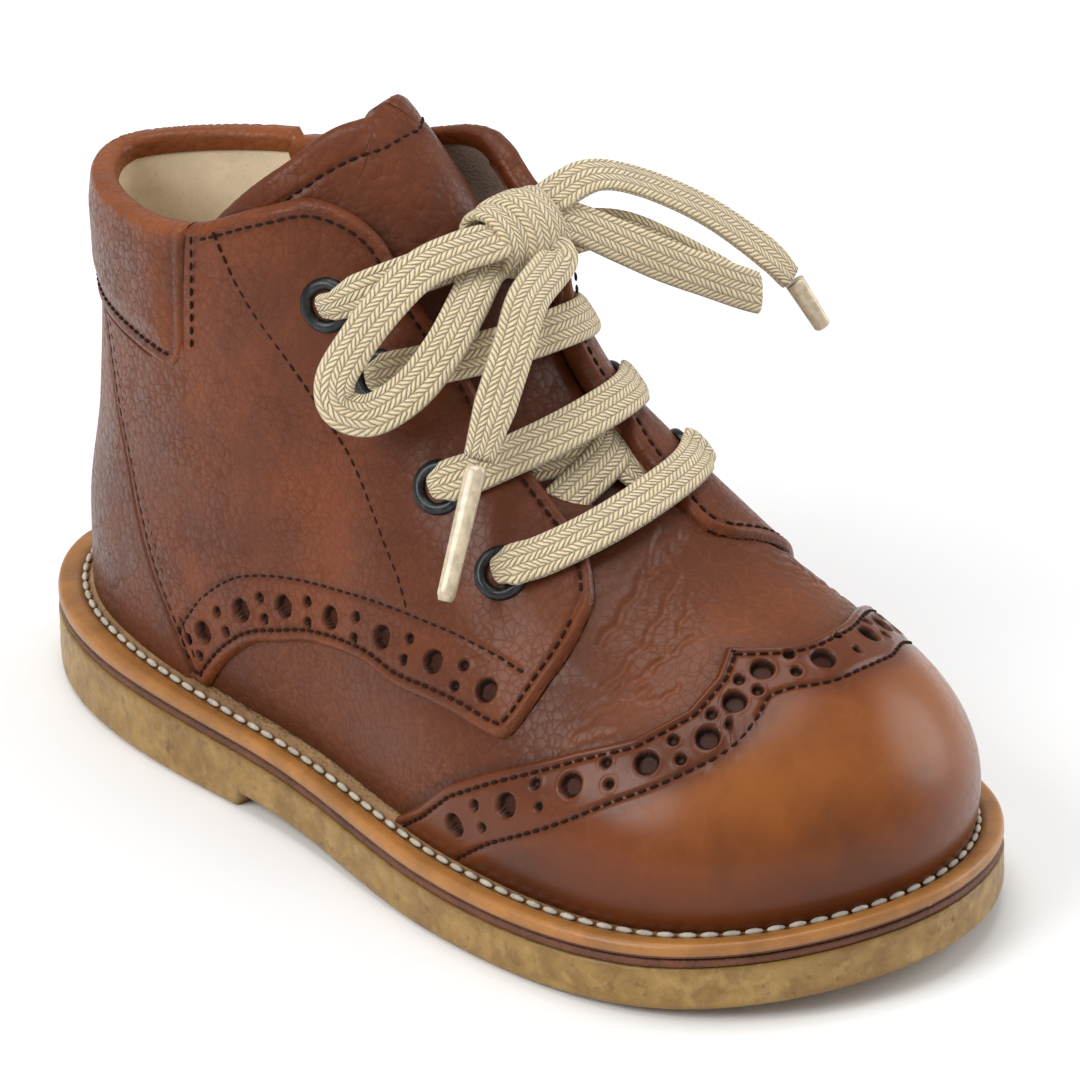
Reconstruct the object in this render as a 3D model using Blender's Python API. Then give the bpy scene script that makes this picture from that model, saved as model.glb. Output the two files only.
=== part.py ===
# A child's lace-up ankle boot in brogue style, the right one: crepe outsole, midsole, welt,
# insole, hollow leather upper with wing tip, quarters, counter and collar tab, tongue,
# eyelets, and a flat cotton lace tied in a bow.
# Lengths are millimetres from the back of the sole, toe along +X, lateral side at -Y, floor
# at Z = 0. The finished model is in metres, with its origin under the middle of the heel.

import math

import bmesh
import bpy
import numpy as np
from mathutils import Euler, Vector

# Sole
LENGTH = 152.0          # back of the heel to the tip of the toe
BALL_WIDTH = 67.0       # widest part of the outsole
OUTSOLE = 6.0           # crepe under the ball
HEEL_RISE = 2.9         # extra crepe under the heel
HEEL_STEP = 2.0         # step in front of the heel
HEEL_LENGTH = 56.0      # back of the sole to that step
TOE_SPRING = 3.4        # lift of the sole at its tip
CREPE_EDGE = 1.3        # rounding of the outsole's lower edge
MIDSOLE = 0.7
WELT = 2.0
WELT_EDGE = 0.8         # rounding of the welt's upper edge
INSOLE = 2.6
INSOLE_PLAY = 0.25      # between the insole's edge and the wall
INSOLE_SLOPE = 0.6      # by which its upper edge is drawn in
GAP = 0.3               # between pieces that lie on each other

# Upper
INSTEP_RISE = 56.5      # ridge over the seat, at the instep
TOE_RISE = 29.1         # ridge over the seat, at the toe cap
COLLAR_RISE = 61.2      # collar over the seat, at the back
WALL = 1.6              # leather with its lining
OVERLAY = 0.9           # leather laid on the upper
TAB = 1.3               # padded tab round the collar
WELT_MARGIN = 4.7       # welt that shows beside the waist of the upper
HEEL_MARGIN = 5.6       # the same under the counter
TOE_MARGIN = 5.2        # the same under the toe cap
HEEL_CENTRE = 27.0      # middle of the heel's round end
TOE_CENTRE = 116.0      # middle of the toe's round end
SWELL = 0.06            # share by which the forefoot's sides bulge
SWELL_TOP = 0.85        # share of the toe's rise up to which they do
WAIST_END = 0.37        # foot share where the heel's barrel has become the waist's
FOREFOOT = (0.44, 0.66)     # foot shares where the forefoot's bulge starts and is whole
TURN_STEP = 22.0        # length of outline that counts like one radian of turning
THROAT_END = 101.0      # front end of the throat
THROAT_RECESS = 0.4     # edge of the lining behind the edge of the facing
THROAT_ROUND = 10.0     # length of the throat's round front end
COLLAR_CORNER = 6.5     # rounding of the facing's upper corner
SEAM = 0.35             # between overlays that lie side by side
SEAM_SHARE = 0.004      # the same as a foot share, in front of the collar tab

# Tongue
TONGUE = 2.0
TONGUE_GAP = 0.55       # under the facings
TONGUE_FRONT = 106.0    # front end, under the vamp
TONGUE_BACK = 0.262     # foot share of its back corners
TONGUE_RISE = 83.3      # its upper edge over the seat
TONGUE_HALF = 21.0      # ridge to its side edge, at its widest
TONGUE_TAPER = 0.72     # width at its front end, as a share of that
TONGUE_BEND = 77.0      # height from which it leans back
TONGUE_LEAN = 5.0

# Eyelets and lace
EYELET_OUTER = 3.55
EYELET_INNER = 1.95
EYELET_RIM = 0.9
EYELET_BARREL = 2.35
EYELET_DEPTH = 2.6      # barrel under the ring
EYELET_SIDES = 10
LACE_WIDTH = 5.4
LACE_THICK = 1.3
BAR_DIP = 1.7           # bar's sag between the facings
BAR_CLEAR = 0.7         # under a bar, over the rims
BAR_BOW = 1.15          # exponent of the bow that a bar makes seen from above
BAR_SAG_FORM = 0.6      # exponent of the sag's form
BAR_STATIONS = 11
CROSSING_CLEAR = 0.5    # under the crossing, over the tongue
AGLET_WIDTH = 3.2
AGLET_THICK = 2.4
KNOT_SIZE = (9.0, 15.0, 6.5)
KNOT_TILT = 0.75        # radians, with the slope of the instep

COLUMNS = 28            # sections of the upper from heel to toe, on each side
ROWS = 10               # rows from the welt to the ridge
CAP_ROWS = 7
QUARTER_ROWS = 7
COUNTER_ROWS = 4
TAB_ROWS = 2
TONGUE_ROWS = 4

# share of LENGTH, half widths of the outsole as shares of BALL_WIDTH
OUTLINE = [
    # share  lateral  medial
    (0.055, -0.208, 0.206),
    (0.150, -0.335, 0.325),
    (0.290, -0.396, 0.338),
    (0.438, -0.418, 0.360),
    (0.598, -0.485, 0.442),
    (0.741, -0.505, 0.497),
    (0.873, -0.438, 0.455),
    (0.961, -0.251, 0.297),
]
HEEL_BACK = (0.006, 0.0)
TOE_TIP = (1.0, 0.035)

# share of LENGTH, then shares of HEEL_RISE, HEEL_STEP and TOE_SPRING
SOLE = [
    # share  rise   arch  spring
    (0.000, 1.00, 1.00, 0.00),
    (0.250, 0.93, 1.00, 0.00),
    (0.375, 0.72, 1.00, 0.00),
    (0.450, 0.52, 0.72, 0.00),
    (0.560, 0.22, 0.16, 0.00),
    (0.630, 0.05, 0.00, 0.00),
    (0.720, 0.00, 0.00, 0.00),
    (0.850, 0.00, 0.00, 0.20),
    (0.930, 0.00, 0.00, 0.52),
    (1.000, 0.00, 0.00, 1.00),
]

# share of LENGTH, ridge as shares of INSTEP_RISE and TOE_RISE, squareness of the plan and
# of the crown, shift of the ridge to the medial side as a share of BALL_WIDTH
SECTIONS = [
    # share instep   toe  plan crown   skew
    (0.00, 7.260, 0.000, 2.0, 2.0, 0.000),
    (0.18, 5.660, 0.000, 2.0, 2.0, 0.000),
    (0.30, 2.940, 0.000, 2.0, 2.0, 0.022),
    (0.36, 1.995, 0.000, 2.1, 2.0, 0.036),
    (0.41, 1.535, 0.000, 2.2, 1.9, 0.046),
    (0.47, 1.251, 0.000, 2.2, 1.8, 0.052),
    (0.54, 1.000, 0.000, 2.2, 1.8, 0.059),
    (0.61, 0.540, 0.505, 2.2, 1.9, 0.063),
    (0.68, 0.220, 0.855, 2.3, 2.0, 0.066),
    (0.76, 0.040, 1.005, 2.4, 2.1, 0.070),
    (0.85, 0.000, 1.000, 2.5, 2.2, 0.075),
    (0.93, 0.000, 0.993, 2.5, 2.3, 0.063),
    (1.00, 0.000, 0.970, 2.5, 2.3, 0.052),
]

# height over the heel seat as a share of COLLAR_RISE, outward factor at heel and waist
BARREL = [
    # height  heel  waist
    (0.000, 0.991, 1.000),
    (0.184, 0.981, 1.010),
    (0.429, 0.882, 0.965),
    (0.735, 0.836, 0.945),
    (1.040, 0.870, 0.945),
    (1.225, 0.886, 0.955),
]

# share of LENGTH, height of the collar as shares of COLLAR_RISE
COLLAR = [
    # share lateral medial
    (0.00, 1.000, 1.000),
    (0.12, 1.018, 1.022),
    (0.20, 1.034, 1.049),
    (0.28, 1.076, 1.111),
    (0.35, 1.154, 1.191),
    (0.40, 1.196, 1.240),
    (0.46, 1.200, 1.255),
]

# share of LENGTH, edges of the facings as shares of BALL_WIDTH
THROAT = [
    # share lateral medial
    (0.400, -0.137, 0.176),
    (0.450, -0.135, 0.158),
    (0.500, -0.130, 0.133),
    (0.560, -0.120, 0.109),
    (0.600, -0.119, 0.104),
]

# foot share along the upper, edge of the wing tip as a share of the way to the ridge
WING = [
    # foot  lateral  medial
    (0.575, 0.012, 0.012),
    (0.613, 0.079, 0.079),
    (0.651, 0.162, 0.162),
    (0.704, 0.248, 0.248),
    (0.753, 0.326, 0.326),
    (0.799, 0.399, 0.408),
    (0.853, 0.475, 0.520),
    (0.902, 0.578, 0.632),
    (0.927, 0.680, 0.676),
    (0.939, 0.772, 0.695),
    (0.971, 0.786, 0.742),
    (1.000, 0.790, 0.790),
]

# foot share along the upper, lower edge of the quarter as a share of the way to the ridge
QUARTER_EDGE = [
    # foot   lift
    (0.285, 0.000),
    (0.315, 0.027),
    (0.346, 0.056),
    (0.397, 0.108),
    (0.444, 0.158),
    (0.509, 0.207),
    (0.582, 0.253),
    (0.652, 0.295),
    (0.709, 0.320),
    (0.756, 0.504),
    (0.775, 0.611),
    (0.785, 0.700),
]
QUARTER_CORNER = 0.709
# foot share, upper edge of the facing's round front tab
TAB_EDGE = [
    # foot   lift
    (0.723, 0.860),
    (0.752, 0.808),
    (0.766, 0.782),
    (0.778, 0.752),
    (0.785, 0.718),
]

# foot share, height over the floor of the seam between quarter and counter
COUNTER_SEAM = [
    # foot  height as a share of COLLAR_RISE
    (0.078, 0.712),
    (0.114, 0.560),
    (0.159, 0.405),
    (0.201, 0.273),
    (0.240, 0.147),
    (0.264, 0.045),
]
# foot shares of the sections through the facing's rounded upper corner
CORNER_FEET = [0.415, 0.436, 0.452, 0.466, 0.482]
TAB_LOW = 0.735         # lower edge of the collar tab as a share of COLLAR_RISE
TAB_FRONT = 0.252       # foot share of its front edge

# share of LENGTH, height of the tongue's upper edge over the seat as shares of TONGUE_RISE
TONGUE_EDGE = [
    # share lateral medial
    (0.250, 0.735, 0.800),
    (0.280, 0.778, 0.850),
    (0.330, 0.863, 0.915),
    (0.370, 0.924, 0.958),
    (0.400, 0.970, 0.985),
    (0.430, 1.000, 1.000),
]

# share of LENGTH, height of the tongue's side edges over the seat as a share of TONGUE_RISE
TONGUE_SIDE = [
    # share height
    (0.240, 0.640),
    (0.400, 0.600),
    (0.500, 0.420),
    (0.600, 0.200),
    (0.680, 0.000),
]

# eyelets from the toe up: foot share, shares of the way to the ridge
EYELETS = [
    # foot lateral medial
    (0.675, 0.590, 0.670),
    (0.579, 0.585, 0.625),
    (0.482, 0.569, 0.545),
    (0.410, 0.520, 0.480),
]

# foot shares where the bars cross the ridge
BARS = [0.835, 0.722, 0.627]

# name, then foot share and share of the way to the ridge at the lateral end, in the middle
# and at the medial end, and thickness
CROSSING = [
    ("lace_crossing", (0.733, 0.890), (0.755, 0.985), (0.738, 0.992), LACE_THICK),
    ("lace_under", (0.702, 0.915), (0.752, 0.985), (0.768, 0.999), LACE_THICK * 0.9),
]

# The bow's route, chosen by hand: middle of the knot, ends of the runs beside it
KNOT = (76.5, 6.0, 76.4)
KNOT_SIDE = {-1: (75.2, -1.5, 75.6), 1: (74.6, 12.9, 74.9)}
# name, points along the lace, and ways out of its flat face spread along them
LOOSE = [
    ("lace_loop_lateral", [
        (78.5, -1.0, 77.9), (77.3, -5.6, 77.7), (76.2, -11.0, 76.7), (75.6, -16.6, 73.6),
        (74.8, -21.0, 69.6), (74.2, -24.0, 65.6), (75.3, -24.4, 62.4), (78.7, -22.3, 61.7),
        (81.6, -18.0, 64.6), (82.5, -13.2, 68.8), (81.0, -7.6, 72.2), (78.6, -2.4, 74.2),
    ], [(0.5, -0.4, 0.75), (0.45, -0.6, 0.6), (0.3, -0.9, 0.3), (0.5, -0.8, 0.3),
        (0.6, -0.6, 0.6), (0.6, -0.45, 0.65)]),
    ("lace_end_lateral", [
        (82.5, 6.8, 74.2), (86.1, -1.9, 72.9), (88.9, -7.3, 69.2), (91.1, -13.0, 63.6),
        (92.6, -17.5, 58.6),
    ], [(0.7, -0.3, 0.65), (0.65, -0.5, 0.55)]),
    ("lace_loop_medial", [
        (79.0, 12.9, 76.3), (82.0, 18.4, 72.6), (85.1, 23.6, 69.0), (87.3, 28.7, 66.0),
        (89.2, 33.4, 63.2), (89.6, 35.4, 62.1), (88.0, 35.2, 62.1), (85.1, 31.0, 65.2),
        (82.2, 26.5, 68.8), (79.5, 21.9, 71.9), (77.6, 17.6, 73.2), (77.0, 14.0, 73.4),
    ], [(0.6, -0.1, 0.8), (0.64, -0.5, 0.55), (0.64, -0.62, 0.42), (0.72, 0.7, 0.0),
        (-0.64, 0.62, -0.42), (-0.64, 0.6, -0.45), (-0.6, 0.1, -0.7)]),
    ("lace_end_medial", [
        (76.4, 12.6, 79.2), (77.3, 18.4, 80.3), (79.0, 25.3, 77.6), (82.5, 33.5, 72.0),
        (86.7, 40.1, 65.2), (88.8, 42.3, 61.6),
    ], [(0.3, -0.1, 0.95), (0.5, 0.1, 0.85), (0.7, 0.0, 0.7)]),
]
AGLETS = [
    ("aglet_lateral", (92.9, -18.2, 57.8), (96.9, -28.0, 44.3)),
    ("aglet_medial", (89.2, 42.7, 61.0), (91.9, 45.2, 54.6)),
]


def curve(table, column, x):
    """Smooth monotone curve through one column of a table, flat beyond its ends."""
    rows = np.array(table, float)
    xs, ys = rows[:, 0], rows[:, column]
    step = np.diff(xs)
    slope = np.diff(ys) / step
    tangent = np.zeros(len(xs))
    tangent[0], tangent[-1] = slope[0], slope[-1]
    for i in range(1, len(xs) - 1):
        if slope[i - 1] * slope[i] > 0:
            w1 = 2 * step[i] + step[i - 1]
            w2 = step[i] + 2 * step[i - 1]
            tangent[i] = (w1 + w2) / (w1 / slope[i - 1] + w2 / slope[i])
    x = np.clip(x, xs[0], xs[-1])
    i = np.clip(np.searchsorted(xs, x, side="right") - 1, 0, len(xs) - 2)
    t = (x - xs[i]) / step[i]
    value = (1 + 2 * t) * (1 - t) ** 2 * ys[i] + t * t * (3 - 2 * t) * ys[i + 1]
    return value + step[i] * t * (1 - t) * ((1 - t) * tangent[i] - t * tangent[i + 1])


def straight(table, column, x):
    """Straight runs through one column of a table."""
    rows = np.array(table, float)
    return np.interp(x, rows[:, 0], rows[:, column])


def closed_spline(points, samples):
    """Smooth closed curve through points, with its unit tangents."""
    p = np.array(points, float)
    n = len(p)
    chord = np.linalg.norm(np.roll(p, -1, 0) - p, axis=1)
    matrix = np.zeros((n, n))
    right = np.zeros((n, 2))
    for i in range(n):
        before, after = chord[i - 1], chord[i]
        matrix[i, i - 1] += before
        matrix[i, i] += 2 * (before + after)
        matrix[i, (i + 1) % n] += after
        right[i] = 6 * ((p[(i + 1) % n] - p[i]) / after - (p[i] - p[i - 1]) / before)
    second = np.linalg.solve(matrix, right)
    knots = np.concatenate([[0], np.cumsum(chord)])
    t = np.linspace(0, knots[-1], samples, endpoint=False)
    i = np.clip(np.searchsorted(knots, t, side="right") - 1, 0, n - 1)
    j = (i + 1) % n
    h = chord[i][:, None]
    b = ((t - knots[i]) / chord[i])[:, None]
    a = 1 - b
    bend = ((a**3 - a) * second[i] + (b**3 - b) * second[j]) * h * h / 6
    point = a * p[i] + b * p[j] + bend
    turn = ((3 * b * b - 1) * second[j] - (3 * a * a - 1) * second[i]) * h / 6
    tangent = (p[j] - p[i]) / h + turn
    return point, tangent / np.linalg.norm(tangent, axis=1)[:, None]


def sole_loop():
    """The outsole's outline: heel, lateral side, toe, medial side."""
    lateral = [(row[0], row[1]) for row in OUTLINE]
    medial = [(row[0], row[2]) for row in reversed(OUTLINE)]
    shares = [HEEL_BACK] + lateral + [TOE_TIP] + medial
    return closed_spline([(a * LENGTH, b * BALL_WIDTH) for a, b in shares], 2400)


LOOP, LOOP_TANGENT = sole_loop()


class Outline:
    """The outsole's outline moved inwards, by one width or by one that depends on x."""

    def __init__(self, inset):
        width = inset(LOOP[:, 0]) if callable(inset) else np.full(len(LOOP), float(inset))
        inward = np.stack([-LOOP_TANGENT[:, 1], LOOP_TANGENT[:, 0]], 1)
        loop = LOOP + width[:, None] * inward
        heel, toe = loop[:, 0].argmin(), loop[:, 0].argmax()
        ahead = (toe - heel) % len(loop)
        turned = np.roll(loop, -heel, axis=0)
        self.lateral = turned[: ahead + 1]
        self.medial = np.vstack([turned[ahead:], turned[:1]])[::-1]
        self.back, self.tip = self.lateral[0, 0], self.lateral[-1, 0]

    def at(self, foot, lateral):
        """Point at a foot share, 0 at the heel and 1 at the toe."""
        x = self.back + (self.tip - self.back) * foot
        y = np.where(
            lateral,
            np.interp(x, self.lateral[:, 0], self.lateral[:, 1]),
            np.interp(x, self.medial[:, 0], self.medial[:, 1]),
        )
        return np.stack([x, y], -1)


def feather_margin(x):
    """Welt that shows beside the bare upper."""
    share = x / LENGTH
    heel = np.clip((0.36 - share) / 0.18, 0, 1)
    toe = np.clip((share - 0.50) / 0.18, 0, 1)
    return WELT_MARGIN + (HEEL_MARGIN - WELT_MARGIN) * heel + (TOE_MARGIN - WELT_MARGIN) * toe


def tread(x):
    """Underside of the outsole: flat heel, step, arch, flat ball, toe spring."""
    share = x / LENGTH
    arch = np.where(x > HEEL_LENGTH, curve(SOLE, 2, share), 0.0)
    return HEEL_STEP * arch + TOE_SPRING * curve(SOLE, 3, share)


def crepe_top(x):
    share = x / LENGTH
    return OUTSOLE + HEEL_RISE * curve(SOLE, 1, share) + TOE_SPRING * curve(SOLE, 3, share)


def midsole_bottom(x):
    return crepe_top(x) + GAP


def welt_bottom(x):
    return midsole_bottom(x) + MIDSOLE + GAP


def seat(x):
    """Top of the welt."""
    return welt_bottom(x) + WELT


FEATHER = Outline(feather_margin)
BALL_SEAT = OUTSOLE + MIDSOLE + WELT + 2 * GAP
HEEL_SEAT = BALL_SEAT + HEEL_RISE


def foot_stations():
    """Foot share against loop station: even steps of length and turning round the outline."""
    line = FEATHER.lateral
    steps = np.diff(line, axis=0)
    length = np.linalg.norm(steps, axis=1)
    angle = np.unwrap(np.arctan2(steps[:, 1], steps[:, 0]))
    turning = np.concatenate([[0], np.abs(np.diff(angle))])
    station = np.concatenate([[0], np.cumsum(length + TURN_STEP * turning)])
    foot = (line[:, 0] - FEATHER.back) / (FEATHER.tip - FEATHER.back)
    return station / station[-1], foot


STATION, FOOT = foot_stations()


def station_of(foot):
    """Loop station on the lateral side at a foot share."""
    return np.interp(foot, FOOT, STATION)


def ridge_height(x):
    share = x / LENGTH
    rise = INSTEP_RISE * curve(SECTIONS, 1, share) + TOE_RISE * curve(SECTIONS, 2, share)
    return BALL_SEAT + rise


def spine(foot):
    """Middle of the section at a foot share, in plan."""
    middle = (FEATHER.at(foot, True)[..., 1] + FEATHER.at(foot, False)[..., 1]) / 2
    x = HEEL_CENTRE + (TOE_CENTRE - HEEL_CENTRE) * foot
    return np.stack([x, middle * foot + BALL_WIDTH * curve(SECTIONS, 5, foot)], -1)


def ridge_line(x):
    """Sideways place of the ridge."""
    foot = (x - HEEL_CENTRE) / (TOE_CENTRE - HEEL_CENTRE)
    return spine(np.clip(foot, 0, 1))[..., 1]


def unfold(w, v):
    """Stations past the ridge or past the heel are those of the other side."""
    w, v = np.broadcast_arrays(np.asarray(w, float), np.asarray(v, float))
    over = v > 1
    w = np.where(over, 2 - w, w) % 2
    v = np.clip(np.where(over, 2 - v, v), 0, 1)
    lateral = w <= 1
    foot = np.interp(np.where(lateral, w, 2 - w), STATION, FOOT)
    return foot, v, lateral


def ease(t):
    t = np.clip(t, 0, 1)
    return t * t * (3 - 2 * t)


def last(w, v):
    """Outer face of the bare upper. w runs from 0 at the heel along the lateral side to 1 at
    the toe and back along the medial side to 2; v runs from 0 at the welt to 1 on the ridge."""
    foot, v, lateral = unfold(w, v)
    edge = FEATHER.at(foot, lateral)
    centre = spine(foot)
    share = edge[..., 0] / LENGTH
    plan = curve(SECTIONS, 3, share)
    crown = curve(SECTIONS, 4, share)
    turn = v * math.pi / 2
    out = np.cos(turn) ** (2 / plan)
    base = seat(edge[..., 0])
    x = centre[..., 0] + out * (edge[..., 0] - centre[..., 0])
    z = base + (ridge_height(x) - base) * np.sin(turn) ** (2 / crown)
    up = (z - HEEL_SEAT) / COLLAR_RISE
    waist = ease(edge[..., 0] / (WAIST_END * LENGTH))
    back = curve(BARREL, 1, up) * (1 - waist) + curve(BARREL, 2, up) * waist
    front = 1 + SWELL * np.sin(math.pi * np.clip((z - BALL_SEAT) / (SWELL_TOP * TOE_RISE), 0, 1))
    forefoot = ease((share - FOREFOOT[0]) / (FOREFOOT[1] - FOREFOOT[0]))
    factor = out * (back * (1 - forefoot) + front * forefoot)
    plane = centre + factor[..., None] * (edge - centre)
    return np.concatenate([plane, (z + GAP)[..., None]], -1)


def skin(w, v, lift):
    """Point at a distance outside the bare upper's face; inside, where lift is negative."""
    w, v = np.broadcast_arrays(np.asarray(w, float), np.asarray(v, float))
    step = 0.004
    tip = (np.abs(w - 1) < 0.01) & (v > 1 - step)
    beside = np.where(tip, 1 - 2 * step, v)
    along = last(w + step, beside) - last(w - step, beside)
    across = last(w, np.where(tip, v, v + step)) - last(w, np.maximum(v - step, 0))
    normal = np.cross(along, across)
    normal[v <= 0, 2] = 0
    normal /= np.linalg.norm(normal, axis=-1)[..., None]
    return last(w, v) + np.asarray(lift, float)[..., None] * normal


def collar_height(point, lateral):
    share = point[..., 0] / LENGTH
    rise = np.where(lateral, curve(COLLAR, 1, share), curve(COLLAR, 2, share))
    return BALL_SEAT + COLLAR_RISE * rise


def highest(w, allowed):
    """Largest v on each column whose point is still allowed."""
    low, high = np.zeros(len(w)), np.ones(len(w))
    whole = allowed(last(w, high), w <= 1)
    for _ in range(28):
        middle = (low + high) / 2
        fits = allowed(last(w, middle), w <= 1)
        low, high = np.where(fits, middle, low), np.where(fits, high, middle)
    return np.where(whole, 1.0, low)


def throat_width(x, lateral):
    """Ridge to the edge of a facing."""
    edge = np.where(lateral, curve(THROAT, 1, x / LENGTH), curve(THROAT, 2, x / LENGTH))
    return np.abs(edge * BALL_WIDTH - ridge_line(x))


def leather_here(point, lateral, recess):
    """Under the collar and outside the throat, with the upper corner rounded."""
    below = collar_height(point, lateral) - point[..., 2]
    x = point[..., 0]
    ahead = np.clip((x - (THROAT_END - THROAT_ROUND)) / THROAT_ROUND, 0, 1)
    half = (throat_width(x, lateral) + recess) * np.sqrt(1 - ahead**2)
    beside = np.abs(point[..., 1] - ridge_line(x)) - half
    beside = np.where((x > THROAT_END) | (x < HEEL_CENTRE), COLLAR_CORNER, beside)
    a = np.maximum(COLLAR_CORNER - below, 0)
    b = np.maximum(COLLAR_CORNER - beside, 0)
    near_collar = below < COLLAR_CORNER
    corner = np.where(near_collar, a * a + b * b < COLLAR_CORNER**2, True)
    return (below > 0) & (beside >= 0) & corner


def material(name, colour, roughness, metallic=0.0):
    made = bpy.data.materials.new(name)
    made.use_nodes = True
    shader = made.node_tree.nodes["Principled BSDF"]
    shader.inputs["Base Color"].default_value = (*colour, 1.0)
    shader.inputs["Roughness"].default_value = roughness
    shader.inputs["Metallic"].default_value = metallic
    return made


def build(name, points, faces, finish):
    """Object from points in millimetres; coincident points are joined, normals turned out."""
    mesh = bpy.data.meshes.new(name)
    metres = (np.asarray(points, float) - (HEEL_CENTRE, 0, 0)) / 1000
    mesh.from_pydata([tuple(p) for p in metres], [], [tuple(f) for f in faces])
    shape = bmesh.new()
    shape.from_mesh(mesh)
    bmesh.ops.remove_doubles(shape, verts=shape.verts, dist=2e-6)
    bmesh.ops.recalc_face_normals(shape, faces=shape.faces)
    shape.to_mesh(mesh)
    shape.free()
    mesh.materials.append(finish)
    mesh.shade_smooth()
    mesh.set_sharp_from_angle(angle=math.radians(40))
    made = bpy.data.objects.new(name, mesh)
    bpy.context.scene.collection.objects.link(made)
    return made


def plate(name, rings, finish):
    """Sole layer from (inset, height) rings, bottom to top, closed by strips across the foot."""
    foot = np.unique(np.concatenate([
        np.interp(np.linspace(0, 1, COLUMNS + 1), STATION, FOOT),
        step_feet(rings[0][0]),
    ]))
    count = len(foot)
    total = 2 * count - 2
    points = []
    for inset, height in rings:
        line = Outline(inset)
        lateral = line.at(foot, True)
        medial = line.at(foot[1:-1], False)[::-1]
        flat = np.vstack([lateral, medial])
        points.extend(np.column_stack([flat, height(flat[:, 0])]))
    faces = []
    for ring in range(len(rings) - 1):
        for k in range(total):
            n = (k + 1) % total
            faces.append((ring * total + k, ring * total + n,
                          (ring + 1) * total + n, (ring + 1) * total + k))
    for ring in (0, len(rings) - 1):
        start = ring * total
        faces.append((start, start + 1, start + total - 1))
        faces.append((start + count - 1, start + count, start + count - 2))
        for k in range(1, count - 2):
            faces.append((start + k, start + k + 1, start + total - k - 1, start + total - k))
    return build(name, points, faces, finish)


def step_feet(inset):
    """Foot shares just behind and just before the heel's step."""
    line = Outline(inset)
    at = (HEEL_LENGTH - line.back) / (line.tip - line.back)
    return [at - 0.0015, at + 0.0015]


def shell(name, bands, rows, inner, outer, finish, closed=False):
    """Wall between two lifts of the last, from bands of columns that run from low to high."""
    points, faces = [], []
    t = np.linspace(0, 1, rows + 1)
    for w, low, high in bands:
        v = low[:, None] + (high - low)[:, None] * t
        columns = np.broadcast_to(w[:, None], v.shape)
        shape = last(columns, v)
        near, far = [skin(columns, v, lift(shape) if callable(lift) else np.full(v.shape, lift))
                     for lift in (outer, inner)]
        far[:, 0, 2] = np.where(low <= 0, near[:, 0, 2], far[:, 0, 2])
        start = len(points)
        points.extend(near.reshape(-1, 3))
        points.extend(far.reshape(-1, 3))
        faces.extend(band_faces(start, high, v.shape, closed))
    return build(name, points, faces, finish)


def band_faces(start, high, shape, closed):
    """Faces of a wall; it stays open where both columns end on the ridge."""
    count, deep = shape

    def at(k, j, level):
        return start + level * count * deep + (k % count) * deep + j

    faces = []
    rows = deep - 1
    for k in range(count if closed else count - 1):
        n = (k + 1) % count
        for j in range(rows):
            faces.append((at(k, j, 0), at(n, j, 0), at(n, j + 1, 0), at(k, j + 1, 0)))
            faces.append((at(n, j, 1), at(k, j, 1), at(k, j + 1, 1), at(n, j + 1, 1)))
        faces.append((at(k, 0, 1), at(n, 0, 1), at(n, 0, 0), at(k, 0, 0)))
        if high[k] < 1 or high[n] < 1:
            faces.append((at(k, rows, 0), at(n, rows, 0), at(n, rows, 1), at(k, rows, 1)))
    if not closed:
        for k in (0, count - 1):
            for j in range(rows):
                faces.append((at(k, j, 0), at(k, j + 1, 0), at(k, j + 1, 1), at(k, j, 1)))
    return faces


def columns_between(start, end, extra=(), finest=1.0):
    """Loop stations of the upper's own columns between two feet, with extra ones."""
    own = np.linspace(0, 1, int(COLUMNS * finest) + 1)
    own = own[(own > start + 0.006) & (own < end - 0.006)]
    fixed = np.array([start, end] + [s for s in extra if start < s < end])
    own = [s for s in own if np.min(np.abs(fixed - s)) > 0.008]
    return np.unique(np.concatenate([own, fixed]))


def make_sole(crepe, rubber, leather, sock):
    plate("outsole", [
        (CREPE_EDGE, tread),
        (CREPE_EDGE * 0.30, lambda x: tread(x) + CREPE_EDGE * 0.40),
        (0.0, lambda x: tread(x) + CREPE_EDGE * 1.2),
        (0.0, crepe_top),
    ], crepe)
    plate("midsole", [
        (0.45, midsole_bottom),
        (0.45, lambda x: midsole_bottom(x) + MIDSOLE),
    ], rubber)
    plate("welt", [
        (0.25, welt_bottom),
        (0.0, lambda x: welt_bottom(x) + 0.35),
        (0.0, lambda x: seat(x) - WELT_EDGE),
        (WELT_EDGE * 0.3, lambda x: seat(x) - WELT_EDGE * 0.25),
        (WELT_EDGE, seat),
    ], leather)
    inside = WALL + GAP + INSOLE_PLAY
    plate("insole", [
        (lambda x: feather_margin(x) + inside, lambda x: seat(x) + GAP),
        (lambda x: feather_margin(x) + inside, lambda x: seat(x) + INSOLE),
        (lambda x: feather_margin(x) + inside + INSOLE_SLOPE, lambda x: seat(x) + GAP + INSOLE),
    ], sock)


def make_upper(leather):
    """The hollow upper: one wall round the foot, open below, at the collar and the throat."""
    throat = float(station_of((THROAT_END - HEEL_CENTRE) / (TOE_CENTRE - HEEL_CENTRE)))
    near = [throat - d for d in (0.004, 0.011, 0.022)]
    corner = [float(station_of(foot)) for foot in CORNER_FEET]
    side = columns_between(0.0, 1.0, [throat] + near + corner)
    w = np.concatenate([side, 2 - side[-2:0:-1]])
    high = highest(w, lambda p, lateral: leather_here(p, lateral, THROAT_RECESS))
    high = np.where((w >= throat - 1e-9) & (w <= 2 - throat + 1e-9), 1.0, high)
    bands = [(w, np.zeros(len(w)), high)]
    return shell("upper", bands, ROWS, -WALL, 0.0, leather, closed=True)


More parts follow.
